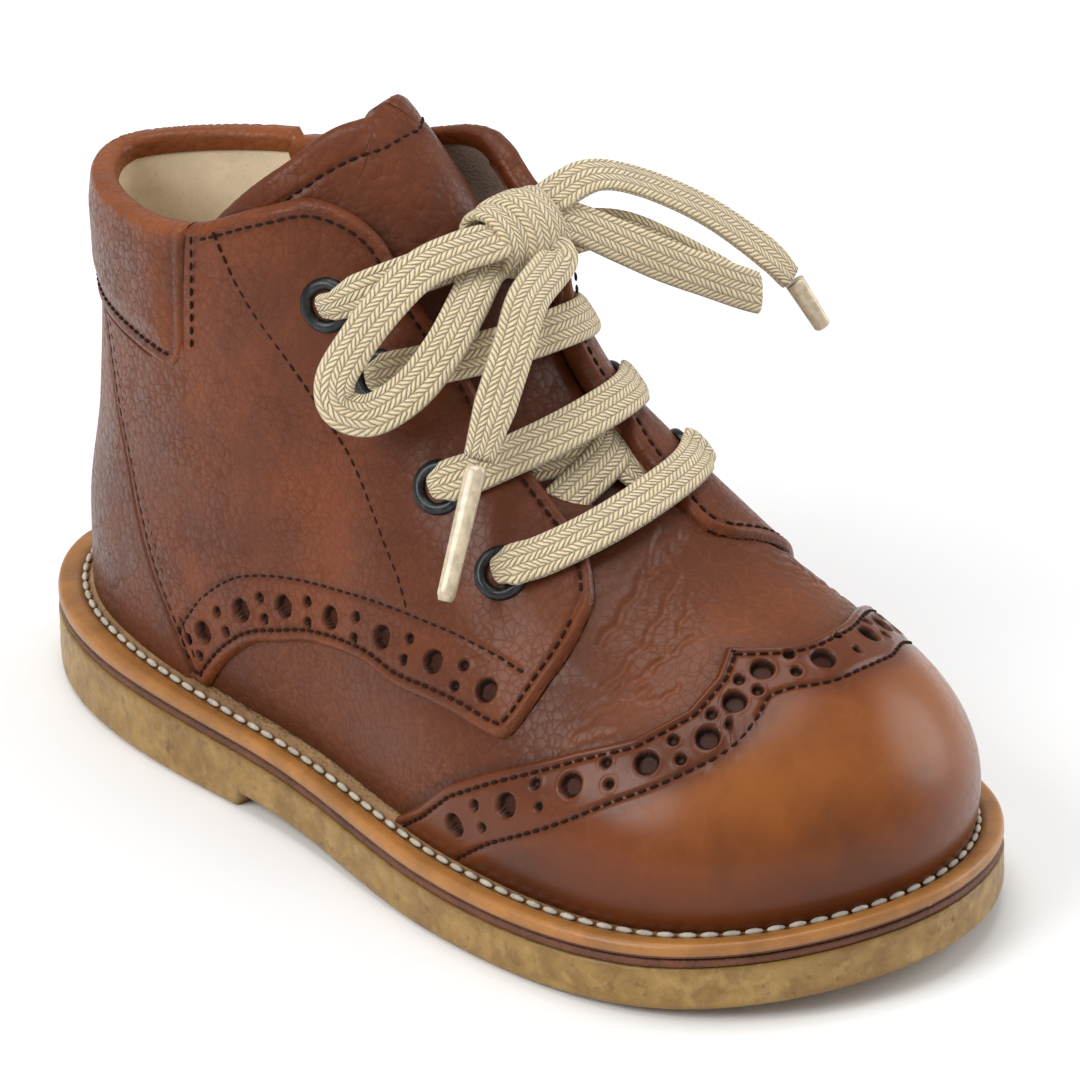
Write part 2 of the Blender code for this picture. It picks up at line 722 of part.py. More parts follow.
def wing_edge(w):
    lateral = w <= 1
    foot = np.interp(np.where(lateral, w, 2 - w), STATION, FOOT)
    return np.where(lateral, straight(WING, 1, foot), curve(WING, 2, foot))


def make_toe_cap(leather):
    start = float(station_of(WING[0][0]))
    knots = [float(station_of(row[0])) for row in WING[1:-1]]
    side = columns_between(start, 1.0, knots[-5:])
    w = np.concatenate([side, 2 - side[-2::-1]])
    bands = [(w, np.zeros(len(w)), wing_edge(w))]
    return shell("toe_cap", bands, CAP_ROWS, GAP, GAP + OVERLAY, leather)


def lift_at_height(w, height):
    """v where a column reaches a height over the floor."""
    return highest(w, lambda p, lateral: p[..., 2] < height)


def seam_height(foot, side):
    """Height of an edge beside the seam of counter and quarter, half a seam to one side."""
    step = 0.002
    rise = curve(COUNTER_SEAM, 1, foot + step) - curve(COUNTER_SEAM, 1, foot - step)
    slope = COLLAR_RISE * rise / (2 * step * (FEATHER.tip - FEATHER.back))
    return (BALL_SEAT + COLLAR_RISE * curve(COUNTER_SEAM, 1, foot)
            + side * SEAM / 2 * np.hypot(1, slope))


def seam_marks():
    """Stations that quarter, counter and collar tab share."""
    feet = [row[0] for row in COUNTER_SEAM] + [TAB_FRONT - SEAM_SHARE, TAB_FRONT]
    return [float(station_of(foot)) for foot in feet]


def make_quarter(name, leather, lateral):
    back, front = COUNTER_SEAM[0][0], QUARTER_EDGE[-1][0]
    marks = [QUARTER_EDGE[0][0], QUARTER_CORNER] + [row[0] for row in TAB_EDGE[:-1]]
    side = columns_between(float(station_of(back)), float(station_of(front)),
                           seam_marks() + [float(station_of(m)) for m in marks + CORNER_FEET])
    w = side if lateral else 2 - side
    foot = np.interp(side, STATION, FOOT)
    seam = lift_at_height(w, seam_height(foot, 1))
    low = np.where(foot < COUNTER_SEAM[-1][0], seam, curve(QUARTER_EDGE, 1, foot))
    high = highest(w, lambda p, lateral_side: leather_here(p, lateral_side, 0.0))
    tab = straight(TAB_EDGE, 1, foot)
    high = np.where(foot > TAB_EDGE[0][0], np.minimum(high, tab), high)
    under_tab = lift_at_height(w, BALL_SEAT + COLLAR_RISE * TAB_LOW - SEAM)
    high = np.where(foot < TAB_FRONT - 1e-6, np.minimum(high, under_tab), high)
    return shell(name, [(w, low, high)], QUARTER_ROWS, GAP, GAP + OVERLAY, leather)


def make_counter(leather):
    end = float(station_of(COUNTER_SEAM[-1][0]))
    side = columns_between(0.0, end, seam_marks())
    w = np.concatenate([-side[:0:-1], side])
    foot = np.interp(np.abs(w), STATION, FOOT)
    top = BALL_SEAT + COLLAR_RISE * TAB_LOW - SEAM
    seam = np.minimum(seam_height(foot, -1), top)
    height = np.where(foot < COUNTER_SEAM[0][0] - 1e-6, top, seam)
    w = w % 2
    bands = [(w, np.zeros(len(w)), lift_at_height(w, height))]
    return shell("counter", bands, COUNTER_ROWS, GAP, GAP + OVERLAY, leather)


def make_collar_tab(leather):
    end = float(station_of(TAB_FRONT - SEAM_SHARE))
    side = columns_between(0.0, end, seam_marks())
    w = np.concatenate([-side[:0:-1], side]) % 2
    low = lift_at_height(w, BALL_SEAT + COLLAR_RISE * TAB_LOW)
    high = highest(w, lambda p, lateral: leather_here(p, lateral, 0.0))
    return shell("collar_tab", [(w, low, high)], TAB_ROWS, GAP, GAP + TAB, leather)


def tongue_top(point, lateral):
    """Height of the tongue's upper edge."""
    share = point[..., 0] / LENGTH
    rise = np.where(lateral, curve(TONGUE_EDGE, 1, share), curve(TONGUE_EDGE, 2, share))
    return BALL_SEAT + TONGUE_RISE * rise


def make_tongue(leather):
    """Tongue under the facings: one band of columns on each side of the ridge."""
    front = float(station_of((TONGUE_FRONT - HEEL_CENTRE) / (TOE_CENTRE - HEEL_CENTRE)))
    ahead = np.linspace(THROAT_END, HEEL_CENTRE, 400)
    peak = float(np.interp(BALL_SEAT + TONGUE_RISE, ridge_height(ahead), ahead))
    peak_foot = (peak - HEEL_CENTRE) / (TOE_CENTRE - HEEL_CENTRE)
    near = [float(station_of(peak_foot - d)) for d in (0.0, 0.012, 0.028, 0.050)]
    side = columns_between(float(station_of(TONGUE_BACK)), front, near)
    bands = []
    for w in (side, 2 - side):
        low = highest(w, lambda p, lateral: outside_tongue(p))
        high = highest(w, lambda p, lateral: p[..., 2] < tongue_top(p, lateral))
        high = np.where(side >= near[0] - 1e-9, 1.0, high)
        bands.append((w, np.minimum(low, high - 0.01), high))
    outer = WALL + TONGUE_GAP

    def lean(p):
        above = np.clip((p[..., 2] - TONGUE_BEND) / (BALL_SEAT + TONGUE_RISE - TONGUE_BEND), 0, 1)
        return TONGUE_LEAN * above**2

    return shell("tongue", bands, TONGUE_ROWS, lambda p: -outer - TONGUE - lean(p),
                 lambda p: -outer - lean(p), leather)


def outside_tongue(point):
    """Beyond the tongue's side edge, which widens towards its top."""
    x = point[..., 0]
    up = np.clip((TONGUE_FRONT - x) / (TONGUE_FRONT - HEEL_CENTRE), 0, 1)
    half = TONGUE_HALF * (TONGUE_TAPER + (1 - TONGUE_TAPER) * up)
    below = BALL_SEAT + TONGUE_RISE * curve(TONGUE_SIDE, 1, x / LENGTH) - point[..., 2]
    return (np.abs(point[..., 1] - ridge_line(x)) > half) | (below > 0)


def on_last(foot, v, side, lift):
    """Point at a lift over the last, and the way out there; side is -1 lateral, 1 medial."""
    w = station_of(foot) if side < 0 else 2 - station_of(foot)
    w, v = np.array([float(w)]), np.array([float(v)])
    foot_point = skin(w, v, 0.0)[0]
    out = skin(w, v, 1.0)[0] - foot_point
    return Vector(foot_point + lift * out), Vector(out)


def smooth_path(points, steps):
    """Points on a smooth curve through the given ones, steps to each span."""
    p = [Vector(q) for q in points]
    p = [2 * p[0] - p[1]] + p + [2 * p[-1] - p[-2]]
    path = []
    for a, b, c, d in zip(p, p[1:], p[2:], p[3:]):
        for k in range(steps):
            t = k / steps
            path.append(0.5 * (2 * b + (c - a) * t + (2 * a - 5 * b + 4 * c - d) * t**2
                               + (3 * b - a - 3 * c + d) * t**3))
    return path + [p[-2]]


def ribbon_mesh(path, outs, width, thick):
    """Flat band with bevelled edges along a path; outs point away from its flat face."""
    profile = [(-0.5, 0.0), (-0.36, 0.5), (0.36, 0.5), (0.5, 0.0), (0.36, -0.5), (-0.36, -0.5)]
    sides = len(profile)
    points = []
    for k, (point, out) in enumerate(zip(path, outs)):
        ahead = (path[min(k + 1, len(path) - 1)] - path[max(k - 1, 0)]).normalized()
        wide = ahead.cross(out).normalized()
        up = wide.cross(ahead)
        points += [point + wide * (a * width) + up * (b * thick) for a, b in profile]
    faces = []
    for k in range(len(path) - 1):
        for j in range(sides):
            n = (j + 1) % sides
            faces.append((k * sides + j, k * sides + n, (k + 1) * sides + n, (k + 1) * sides + j))
    end = (len(path) - 1) * sides
    faces += [tuple(range(sides)), tuple(range(end, end + sides))]
    return points, faces


def ribbon(name, path, outs, finish, width=LACE_WIDTH, thick=LACE_THICK):
    points, faces = ribbon_mesh(path, outs, width, thick)
    return build(name, points, faces, finish)


def eyelet_place(row, side):
    foot, lateral, medial = EYELETS[row]
    return foot, lateral if side < 0 else medial


def make_eyelet(name, metal, row, side):
    """Domed ring over the facing, with a barrel through facing and upper."""
    centre, out = on_last(*eyelet_place(row, side), side, 2 * GAP + OVERLAY)
    profile = [
        (EYELET_INNER, -EYELET_DEPTH),
        (EYELET_INNER, EYELET_RIM * 0.55),
        ((EYELET_INNER + EYELET_OUTER) / 2, EYELET_RIM),
        (EYELET_OUTER, 0.0),
        (EYELET_BARREL, 0.0),
        (EYELET_BARREL, -EYELET_DEPTH),
    ]
    wide = out.orthogonal().normalized()
    far = out.cross(wide)
    points, faces = [], []
    count = len(profile)
    for k in range(EYELET_SIDES):
        angle = 2 * math.pi * k / EYELET_SIDES
        ray = wide * math.cos(angle) + far * math.sin(angle)
        points += [centre + ray * radius + out * height for radius, height in profile]
        for j in range(count):
            n, m = (k + 1) % EYELET_SIDES, (j + 1) % count
            faces.append((k * count + j, n * count + j, n * count + m, k * count + m))
    return build(name, points, faces, metal)


def cut_eyelet_holes():
    """Round holes for the barrels, through both layers of each facing."""
    radius = EYELET_BARREL + GAP
    for side, quarter in ((-1, "quarter_lateral"), (1, "quarter_medial")):
        points, faces = [], []
        for row in range(len(EYELETS)):
            centre, out = on_last(*eyelet_place(row, side), side, 0.0)
            wide = out.orthogonal().normalized()
            far = out.cross(wide)
            start = len(points)
            for height in (-3 * WALL, 3 * OVERLAY):
                for k in range(EYELET_SIDES):
                    angle = 2 * math.pi * k / EYELET_SIDES
                    ray = wide * math.cos(angle) + far * math.sin(angle)
                    points.append(centre + ray * radius + out * height)
            ring = list(range(EYELET_SIDES))
            faces += [[start + k for k in ring], [start + EYELET_SIDES + k for k in ring]]
            for k in ring:
                n = (k + 1) % EYELET_SIDES
                faces.append([start + k, start + n,
                              start + EYELET_SIDES + n, start + EYELET_SIDES + k])
        cutter = build("holes_" + quarter, points, faces, bpy.data.materials["eyelet_metal"])
        cutter.hide_render = True
        cutter.display_type = "WIRE"
        for target in (quarter, "upper"):
            hole = bpy.data.objects[target].modifiers.new("Eyelet holes", "BOOLEAN")
            hole.operation = "DIFFERENCE"
            hole.solver = "EXACT"
            hole.object = cutter


def make_bar(name, cotton, row):
    """Straight bar of the lace over the throat, from rim to rim of a pair of eyelets."""
    facing = 2 * GAP + OVERLAY + EYELET_RIM + BAR_CLEAR + LACE_THICK / 2
    path, outs = [], []
    for share in np.linspace(-1, 1, BAR_STATIONS):
        eyelet, rise = eyelet_place(row, share)
        foot = BARS[row] - (BARS[row] - eyelet) * abs(share) ** BAR_BOW
        v = 1 - abs(share) * (1 - rise)
        bare, _ = on_last(foot, v, share, 0.0)
        low, high = [float(curve(THROAT, k, bare.x / LENGTH)) * BALL_WIDTH for k in (1, 2)]
        dip = max(0.0, 1 - abs(2 * bare.y - low - high) / (high - low)) ** BAR_SAG_FORM
        point, out = on_last(foot, v, share, facing - BAR_DIP * dip)
        path.append(point)
        outs.append(out)
    return ribbon(name, path, outs, cotton)


def make_crossing(cotton):
    """Two diagonals of the lace in one solid, flat on the tongue between two bars."""
    lift = CROSSING_CLEAR + LACE_THICK / 2 - WALL - TONGUE_GAP
    made = []
    for name, lateral, middle, medial, thick in CROSSING:
        ends = [on_last(*lateral, -1, lift), on_last(*middle, -1, lift), on_last(*medial, 1, lift)]
        path = smooth_path([point for point, _ in ends], 3)
        outs = [ends[0][1].lerp(ends[2][1], k / (len(path) - 1)) for k in range(len(path))]
        made.append(ribbon(name, path, outs, cotton, thick=thick))
    join = made[0].modifiers.new("Crossing", "BOOLEAN")
    join.operation = "UNION"
    join.solver = "EXACT"
    join.object = made[1]
    made[1].hide_render = True
    made[1].display_type = "WIRE"


def make_top_run(name, cotton, side, end):
    """From a top eyelet to the knot, over the facing."""
    foot, rise = eyelet_place(-1, side)
    lift = 2 * GAP + OVERLAY + EYELET_RIM + BAR_CLEAR + LACE_THICK / 2
    start, out = on_last(foot + 0.01, rise + 0.02, side, lift)
    near, near_out = on_last(foot + 0.055, rise + 0.16, side, lift + 0.2)
    path = smooth_path([start, near, Vector(end)], 4)
    outs = [out.lerp(near_out, min(1.0, k / 4)) for k in range(len(path))]
    return ribbon(name, path, outs, cotton)


def make_knot(cotton):
    points, faces = [], []
    around, layers = 12, 7
    for j in range(layers + 1):
        polar = math.pi * j / layers
        for k in range(around):
            angle = 2 * math.pi * k / around
            spot = Vector((math.sin(polar) * math.cos(angle) * KNOT_SIZE[0],
                           math.sin(polar) * math.sin(angle) * KNOT_SIZE[1],
                           math.cos(polar) * KNOT_SIZE[2])) / 2
            spot.rotate(Euler((0, KNOT_TILT, 0)))
            points.append(Vector(KNOT) + spot)
    for j in range(layers):
        for k in range(around):
            n = (k + 1) % around
            faces.append((j * around + k, j * around + n, (j + 1) * around + n, (j + 1) * around + k))
    return build("lace_knot", points, faces, cotton)


def make_lace(cotton, horn):
    for row in range(3):
        make_bar("lace_bar_%d" % (row + 1), cotton, row)
    make_crossing(cotton)
    for side, name in ((-1, "lateral"), (1, "medial")):
        make_top_run("lace_run_" + name, cotton, side, KNOT_SIDE[side])
    make_knot(cotton)
    for name, route, outs in LOOSE:
        path = smooth_path(route, 2)
        spans = np.linspace(0, len(outs) - 1, len(path))
        ways = [Vector(outs[int(s)]).lerp(Vector(outs[min(int(s) + 1, len(outs) - 1)]), s % 1)
                for s in spans]
        ribbon(name, path, [w.normalized() for w in ways], cotton)
    for name, start, end in AGLETS:
        path = [Vector(start), Vector(end)]
        ribbon(name, path, [Vector((0.3, -0.6, 0.7)).normalized()] * 2, horn,
               AGLET_WIDTH, AGLET_THICK)


def clear_scene():
    for item in list(bpy.data.objects):
        bpy.data.objects.remove(item, do_unlink=True)


def main():
    clear_scene()
    crepe = material("crepe", (0.56, 0.36, 0.09), 0.55)
    rubber = material("dark_runner", (0.10, 0.035, 0.018), 0.6)
    tan = material("welt_leather", (0.60, 0.27, 0.08), 0.45)
    sock = material("sock_leather", (0.72, 0.56, 0.36), 0.7)
    brown = material("brown_leather", (0.19, 0.060, 0.026), 0.42)
    toe = material("toe_leather", (0.30, 0.10, 0.035), 0.35)
    make_sole(crepe, rubber, tan, sock)
    make_upper(brown)
    make_toe_cap(toe)
    make_quarter("quarter_lateral", brown, True)
    make_quarter("quarter_medial", brown, False)
    make_counter(brown)
    make_collar_tab(brown)
    make_tongue(brown)
    metal = material("eyelet_metal", (0.045, 0.048, 0.055), 0.35, 0.9)
    cotton = material("lace_cotton", (0.56, 0.47, 0.32), 0.9)
    horn = material("aglet_plastic", (0.66, 0.58, 0.40), 0.3)
    for side, name in ((-1, "lateral"), (1, "medial")):
        for row in range(len(EYELETS)):
            make_eyelet("eyelet_%s_%d" % (name, row + 1), metal, row, side)
    cut_eyelet_holes()
    make_lace(cotton, horn)


main()
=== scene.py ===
# Dresses a child's right ankle boot in brogue style: pebbled leather upper with perforated
# wing tip and quarters, rolled edges and stitching, woven flat lace, welt and crepe sole.
# Shapes are worked out in millimetres from the back of the sole, like the model's own.

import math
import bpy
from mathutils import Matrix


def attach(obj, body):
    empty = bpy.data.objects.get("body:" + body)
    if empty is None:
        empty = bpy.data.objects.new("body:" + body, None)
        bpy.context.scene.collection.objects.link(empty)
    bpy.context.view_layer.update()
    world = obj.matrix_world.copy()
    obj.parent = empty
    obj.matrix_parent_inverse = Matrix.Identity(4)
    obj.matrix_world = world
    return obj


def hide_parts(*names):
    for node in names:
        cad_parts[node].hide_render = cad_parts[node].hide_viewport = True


bl_info = {
    "name": "Brogue boot",
    "version": (1, 0, 0),
    "blender": (4, 5, 0),
    "location": "3D View > Sidebar > Boot",
    "description": "Leather, stitching, lace, welt and crepe sole for a child's ankle boot",
    "category": "Object",
}

import bmesh
import bpy
import numpy as np
from mathutils import Matrix, Vector

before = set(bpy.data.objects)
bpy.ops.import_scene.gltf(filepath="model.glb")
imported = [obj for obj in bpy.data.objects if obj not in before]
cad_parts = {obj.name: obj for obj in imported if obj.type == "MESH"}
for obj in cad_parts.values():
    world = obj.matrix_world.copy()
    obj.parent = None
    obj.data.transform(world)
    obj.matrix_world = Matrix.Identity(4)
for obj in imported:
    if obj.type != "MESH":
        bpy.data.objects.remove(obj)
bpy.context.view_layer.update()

# Sole and last, in millimetres
LENGTH = 152.0
BALL_WIDTH = 67.0
OUTSOLE = 6.0
HEEL_RISE = 2.9
HEEL_STEP = 2.0
HEEL_LENGTH = 56.0
TOE_SPRING = 3.4
MIDSOLE = 0.7
WELT = 2.0
INSOLE = 2.6
GAP = 0.3
INSTEP_RISE = 56.5
TOE_RISE = 29.1
COLLAR_RISE = 61.2
WALL = 1.6
OVERLAY = 0.9
TAB = 1.3
WELT_MARGIN = 4.7
HEEL_MARGIN = 5.6
TOE_MARGIN = 5.2
HEEL_CENTRE = 27.0
TOE_CENTRE = 116.0
SWELL = 0.06
THROAT_END = 101.0
THROAT_ROUND = 10.0
THROAT_RECESS = 0.4
COLLAR_CORNER = 6.5
TAB_CORNER = 4.0
FLARE = 5.0
FLARE_REACH = 12.0
FLARE_START = 62.0
ROLL = [
    # lift over the last and depth below the edge, over the rim and down inside
    (-0.5, -0.12), (-1.2, -0.08), (-WALL - 0.05, 0.30), (-WALL - 0.28, 0.9), (-WALL - 0.28, 2.6),
]
TONGUE = 2.0
TONGUE_GAP = 0.55
TONGUE_FRONT = 106.0
TONGUE_BACK = 0.262
TONGUE_RISE = 83.3
TONGUE_HALF = 21.0
TONGUE_TAPER = 0.72
TONGUE_BEND = 77.0
TONGUE_LEAN = 5.0
EYELET_OUTER = 3.55
EYELET_INNER = 1.95
EYELET_DEPTH = 2.4
LACE_WIDTH = 5.4
LACE_THICK = 1.3
TAB_LOW = 0.735
TAB_FRONT = 0.252
OUT = GAP + OVERLAY
SUNK = 0.75             # wall's outer face under the overlays
HOLE_SPACING = 5.0      # least distance of two large holes in the wing tip
TUCK = 4.5              # quarter under the collar band
INSTEP = (106.0, 122.0)     # where the vamp's dark instep ends
HEM = 3.9               # stitches below the tongue's upper edge

OUTLINE = [
    # share  lateral  medial
    (0.055, -0.208, 0.206),
    (0.150, -0.335, 0.325),
    (0.290, -0.396, 0.338),
    (0.438, -0.418, 0.360),
    (0.598, -0.485, 0.442),
    (0.741, -0.505, 0.497),
    (0.873, -0.438, 0.455),
    (0.961, -0.251, 0.297),
]
HEEL_BACK = (0.006, 0.0)
TOE_TIP = (1.0, 0.035)

SOLE = [
    # share  rise   arch  spring
    (0.000, 1.00, 1.00, 0.00),
    (0.250, 0.93, 1.00, 0.00),
    (0.375, 0.72, 1.00, 0.00),
    (0.450, 0.52, 0.72, 0.00),
    (0.560, 0.22, 0.16, 0.00),
    (0.630, 0.05, 0.00, 0.00),
    (0.720, 0.00, 0.00, 0.00),
    (0.850, 0.00, 0.00, 0.20),
    (0.930, 0.00, 0.00, 0.52),
    (1.000, 0.00, 0.00, 1.00),
]

SECTIONS = [
    # share instep   toe  plan crown   skew
    (0.00, 7.260, 0.000, 2.0, 2.0, 0.000),
    (0.18, 5.660, 0.000, 2.0, 2.0, 0.000),
    (0.30, 2.940, 0.000, 2.0, 2.0, 0.022),
    (0.36, 1.995, 0.000, 2.1, 2.0, 0.036),
    (0.41, 1.535, 0.000, 2.2, 1.9, 0.046),
    (0.47, 1.251, 0.000, 2.2, 1.8, 0.052),
    (0.54, 1.000, 0.000, 2.2, 1.8, 0.059),
    (0.61, 0.540, 0.505, 2.2, 1.9, 0.063),
    (0.68, 0.220, 0.855, 2.3, 2.0, 0.066),
    (0.76, 0.040, 1.005, 2.4, 2.1, 0.070),
    (0.85, 0.000, 1.000, 2.5, 2.2, 0.075),
    (0.93, 0.000, 0.993, 2.5, 2.3, 0.063),
    (1.00, 0.000, 0.970, 2.5, 2.3, 0.052),
]

BARREL = [
    # height  heel  waist
    (0.000, 0.991, 1.000),
    (0.184, 0.981, 1.010),
    (0.429, 0.882, 0.965),
    (0.735, 0.836, 0.945),
    (1.040, 0.870, 0.945),
    (1.225, 0.886, 0.955),
]

COLLAR = [
    # share lateral medial
    (0.00, 1.000, 1.000),
    (0.12, 1.018, 1.022),
    (0.20, 1.034, 1.049),
    (0.28, 1.076, 1.111),
    (0.35, 1.154, 1.191),
    (0.40, 1.196, 1.240),
    (0.46, 1.200, 1.255),
]

THROAT = [
    # share lateral medial
    (0.400, -0.137, 0.176),
    (0.450, -0.135, 0.158),
    (0.500, -0.130, 0.133),
    (0.560, -0.120, 0.109),
    (0.600, -0.119, 0.104),
]

WING = [
    # foot  lateral  medial
    (0.575, 0.012, 0.012),
    (0.613, 0.079, 0.079),
    (0.651, 0.162, 0.162),
    (0.704, 0.248, 0.248),
    (0.753, 0.326, 0.326),
    (0.799, 0.399, 0.408),
    (0.853, 0.475, 0.520),
    (0.902, 0.578, 0.632),
    (0.927, 0.680, 0.676),
    (0.939, 0.772, 0.695),
    (0.971, 0.786, 0.742),
    (1.000, 0.790, 0.790),
]

# lower stitch line of the wing tip
WING_STITCH = [
    # foot  lateral medial
    (0.664, 0.010, 0.010),
    (0.709, 0.095, 0.095),
    (0.749, 0.159, 0.159),
    (0.797, 0.238, 0.245),
    (0.838, 0.312, 0.330),
    (0.877, 0.374, 0.415),
    (0.908, 0.426, 0.478),
    (0.928, 0.462, 0.519),
    (0.942, 0.501, 0.540),
    (0.954, 0.554, 0.556),
    (0.968, 0.625, 0.573),
    (0.985, 0.642, 0.604),
    (1.000, 0.636, 0.636),
]

# large perforations of the wing tip
WING_HOLES = [
    # foot  lateral medial
    (0.666, 0.094, 0.094),
    (0.730, 0.207, 0.207),
    (0.798, 0.319, 0.325),
    (0.869, 0.425, 0.470),
    (0.919, 0.505, 0.580),
    (0.941, 0.605, 0.625),
    (0.966, 0.706, 0.660),
    (0.999, 0.712, 0.710),
]

QUARTER_EDGE = [
    # foot   lift
    (0.285, 0.000),
    (0.315, 0.027),
    (0.346, 0.056),
    (0.397, 0.108),
    (0.444, 0.158),
    (0.509, 0.207),
    (0.582, 0.253),
    (0.652, 0.295),
    (0.709, 0.320),
    (0.756, 0.504),
    (0.775, 0.611),
    (0.785, 0.700),
]

TAB_EDGE = [
    # foot   lift
    (0.723, 0.860),
    (0.752, 0.808),
    (0.766, 0.782),
    (0.778, 0.752),
    (0.785, 0.718),
]

# front tab of the medial quarter: shares of the way to the ridge at its lower and upper edge
MEDIAL_TAB = [
    # foot   lower  upper
    (0.709, 0.320, 0.930),
    (0.756, 0.500, 0.958),
    (0.800, 0.655, 0.971),
    (0.836, 0.790, 0.978),
    (0.858, 0.868, 0.980),
    (0.870, 0.908, 0.977),
    (0.878, 0.948, 0.966),
]

# strip over the quarter's lower edge: foot share, heights over the floor in millimetres
STRIP = [
    # foot  stitch  holes
    (0.238, 16.1, 12.6),
    (0.258, 20.2, 14.6),
    (0.289, 25.6, 20.6),
    (0.344, 31.2, 26.6),
    (0.400, 33.5, 29.7),
    (0.465, 34.9, 31.2),
    (0.541, 36.2, 32.3),
    (0.615, 36.4, 32.4),
    (0.686, 35.4, 31.6),
    (0.720, 34.4, 30.9),
]

COUNTER_SEAM = [
    # foot  height as a share of COLLAR_RISE
    (0.078, 0.712),
    (0.114, 0.560),
    (0.159, 0.405),
    (0.201, 0.273),
    (0.240, 0.147),
    (0.264, 0.045),
]

TONGUE_EDGE = [
    # share lateral medial
    (0.250, 0.735, 0.800),
    (0.280, 0.778, 0.850),
    (0.330, 0.863, 0.915),
    (0.370, 0.924, 0.958),
    (0.400, 0.970, 0.985),
    (0.430, 1.000, 1.000),
]

TONGUE_SIDE = [
    # share height
    (0.240, 0.640),
    (0.400, 0.600),
    (0.500, 0.420),
    (0.600, 0.200),
    (0.680, 0.000),
]

EYELETS = [
    # foot lateral medial
    (0.675, 0.590, 0.670),
    (0.579, 0.585, 0.625),
    (0.482, 0.569, 0.545),
    (0.410, 0.520, 0.480),
]
BARS = [0.835, 0.722, 0.627]

# creases of the vamp and the quarters: foot share and share of the way to the ridge at both
# ends, the same for the middle, depth and width in millimetres
CREASES = [
    # from            middle           to             depth width
    (0.800, 0.640, 0.835, 0.800, 0.850, 0.960, 0.19, 0.36),
    (0.815, 0.560, 0.858, 0.720, 0.880, 0.900, 0.15, 0.33),
    (0.795, 0.470, 0.850, 0.620, 0.905, 0.780, 0.13, 0.30),
    (0.840, 0.860, 0.868, 0.930, 0.885, 0.990, 0.17, 0.33),
    (0.780, 0.400, 0.815, 0.520, 0.862, 0.600, 0.12, 0.30),
    (0.860, 0.640, 0.890, 0.760, 0.900, 0.880, 0.11, 0.27),
    (0.760, 0.330, 0.800, 0.440, 0.830, 0.470, 0.11, 0.27),
    (0.730, 0.260, 0.765, 0.340, 0.800, 0.370, 0.12, 0.25),
    (0.690, 0.200, 0.730, 0.235, 0.760, 0.300, 0.12, 0.25),
    (0.805, 0.700, 0.850, 0.690, 0.888, 0.720, 0.11, 0.24),
    (0.835, 0.560, 0.872, 0.560, 0.893, 0.640, 0.12, 0.22),
    (0.640, 0.190, 0.680, 0.180, 0.720, 0.190, 0.11, 0.25),
]

# the bow's route, in millimetres from the back of the sole, as in the model
KNOT = (76.5, 6.0, 76.4)
LOOPS = {
    "lace_loop_lateral": [
        (78.5, -1.0, 77.9), (77.3, -5.6, 77.7), (76.2, -11.0, 76.7), (75.6, -16.6, 73.6),
        (74.8, -21.0, 69.6), (74.2, -24.0, 65.6), (75.3, -24.4, 62.4), (78.7, -22.3, 61.7),
        (81.6, -18.0, 64.6), (82.5, -13.2, 68.8), (81.0, -7.6, 72.2), (78.6, -2.4, 74.2),
    ],
    "lace_end_lateral": [
        (82.5, 6.8, 74.2), (86.1, -1.9, 72.9), (88.9, -7.3, 69.2), (91.1, -13.0, 63.6),
        (92.6, -17.5, 58.6),
    ],
    "lace_loop_medial": [
        (79.0, 12.9, 76.3), (82.0, 18.4, 72.6), (85.1, 23.6, 69.0), (87.3, 28.7, 66.0),
        (89.2, 33.4, 63.2), (89.6, 35.4, 62.1), (88.0, 35.2, 62.1), (85.1, 31.0, 65.2),
        (82.2, 26.5, 68.8), (79.5, 21.9, 71.9), (77.6, 17.6, 73.2), (77.0, 14.0, 73.4),
    ],
    "lace_end_medial": [
        (76.4, 12.6, 79.2), (77.3, 18.4, 80.3), (79.0, 25.3, 77.6), (82.5, 33.5, 72.0),
        (86.7, 40.1, 65.2), (88.8, 42.3, 61.6),
    ],
}
WAYS = {
    "lace_loop_lateral": [(0.5, -0.4, 0.75), (0.45, -0.6, 0.6), (0.3, -0.9, 0.3), (0.5, -0.8, 0.3),
        (0.6, -0.6, 0.6), (0.6, -0.45, 0.65)],
    "lace_end_lateral": [(0.7, -0.3, 0.65), (0.65, -0.5, 0.55)],
    "lace_loop_medial": [(0.6, -0.1, 0.8), (0.64, -0.5, 0.55), (0.64, -0.62, 0.42), (0.72, 0.7, 0.0),
        (-0.64, 0.62, -0.42), (-0.64, 0.6, -0.45), (-0.6, 0.1, -0.7)],
    "lace_end_medial": [(0.3, -0.1, 0.95), (0.5, 0.1, 0.85), (0.7, 0.0, 0.7)],
}
AGLETS = {
    "aglet_lateral": ((92.9, -18.2, 57.8), (96.9, -28.0, 44.3)),
    "aglet_medial": ((89.2, 42.7, 61.0), (91.9, 45.2, 54.6)),
}


def curve(table, column, x):
    """Smooth monotone curve through one column of a table, flat beyond its ends."""
    rows = np.array(table, float)
    xs, ys = rows[:, 0], rows[:, column]
    step = np.diff(xs)
    slope = np.diff(ys) / step
    tangent = np.zeros(len(xs))
    tangent[0], tangent[-1] = slope[0], slope[-1]
    for i in range(1, len(xs) - 1):
        if slope[i - 1] * slope[i] > 0:
            w1 = 2 * step[i] + step[i - 1]
            w2 = step[i] + 2 * step[i - 1]
            tangent[i] = (w1 + w2) / (w1 / slope[i - 1] + w2 / slope[i])
    x = np.clip(x, xs[0], xs[-1])
    i = np.clip(np.searchsorted(xs, x, side="right") - 1, 0, len(xs) - 2)
    t = (x - xs[i]) / step[i]
    value = (1 + 2 * t) * (1 - t) ** 2 * ys[i] + t * t * (3 - 2 * t) * ys[i + 1]
    return value + step[i] * t * (1 - t) * ((1 - t) * tangent[i] - t * tangent[i + 1])


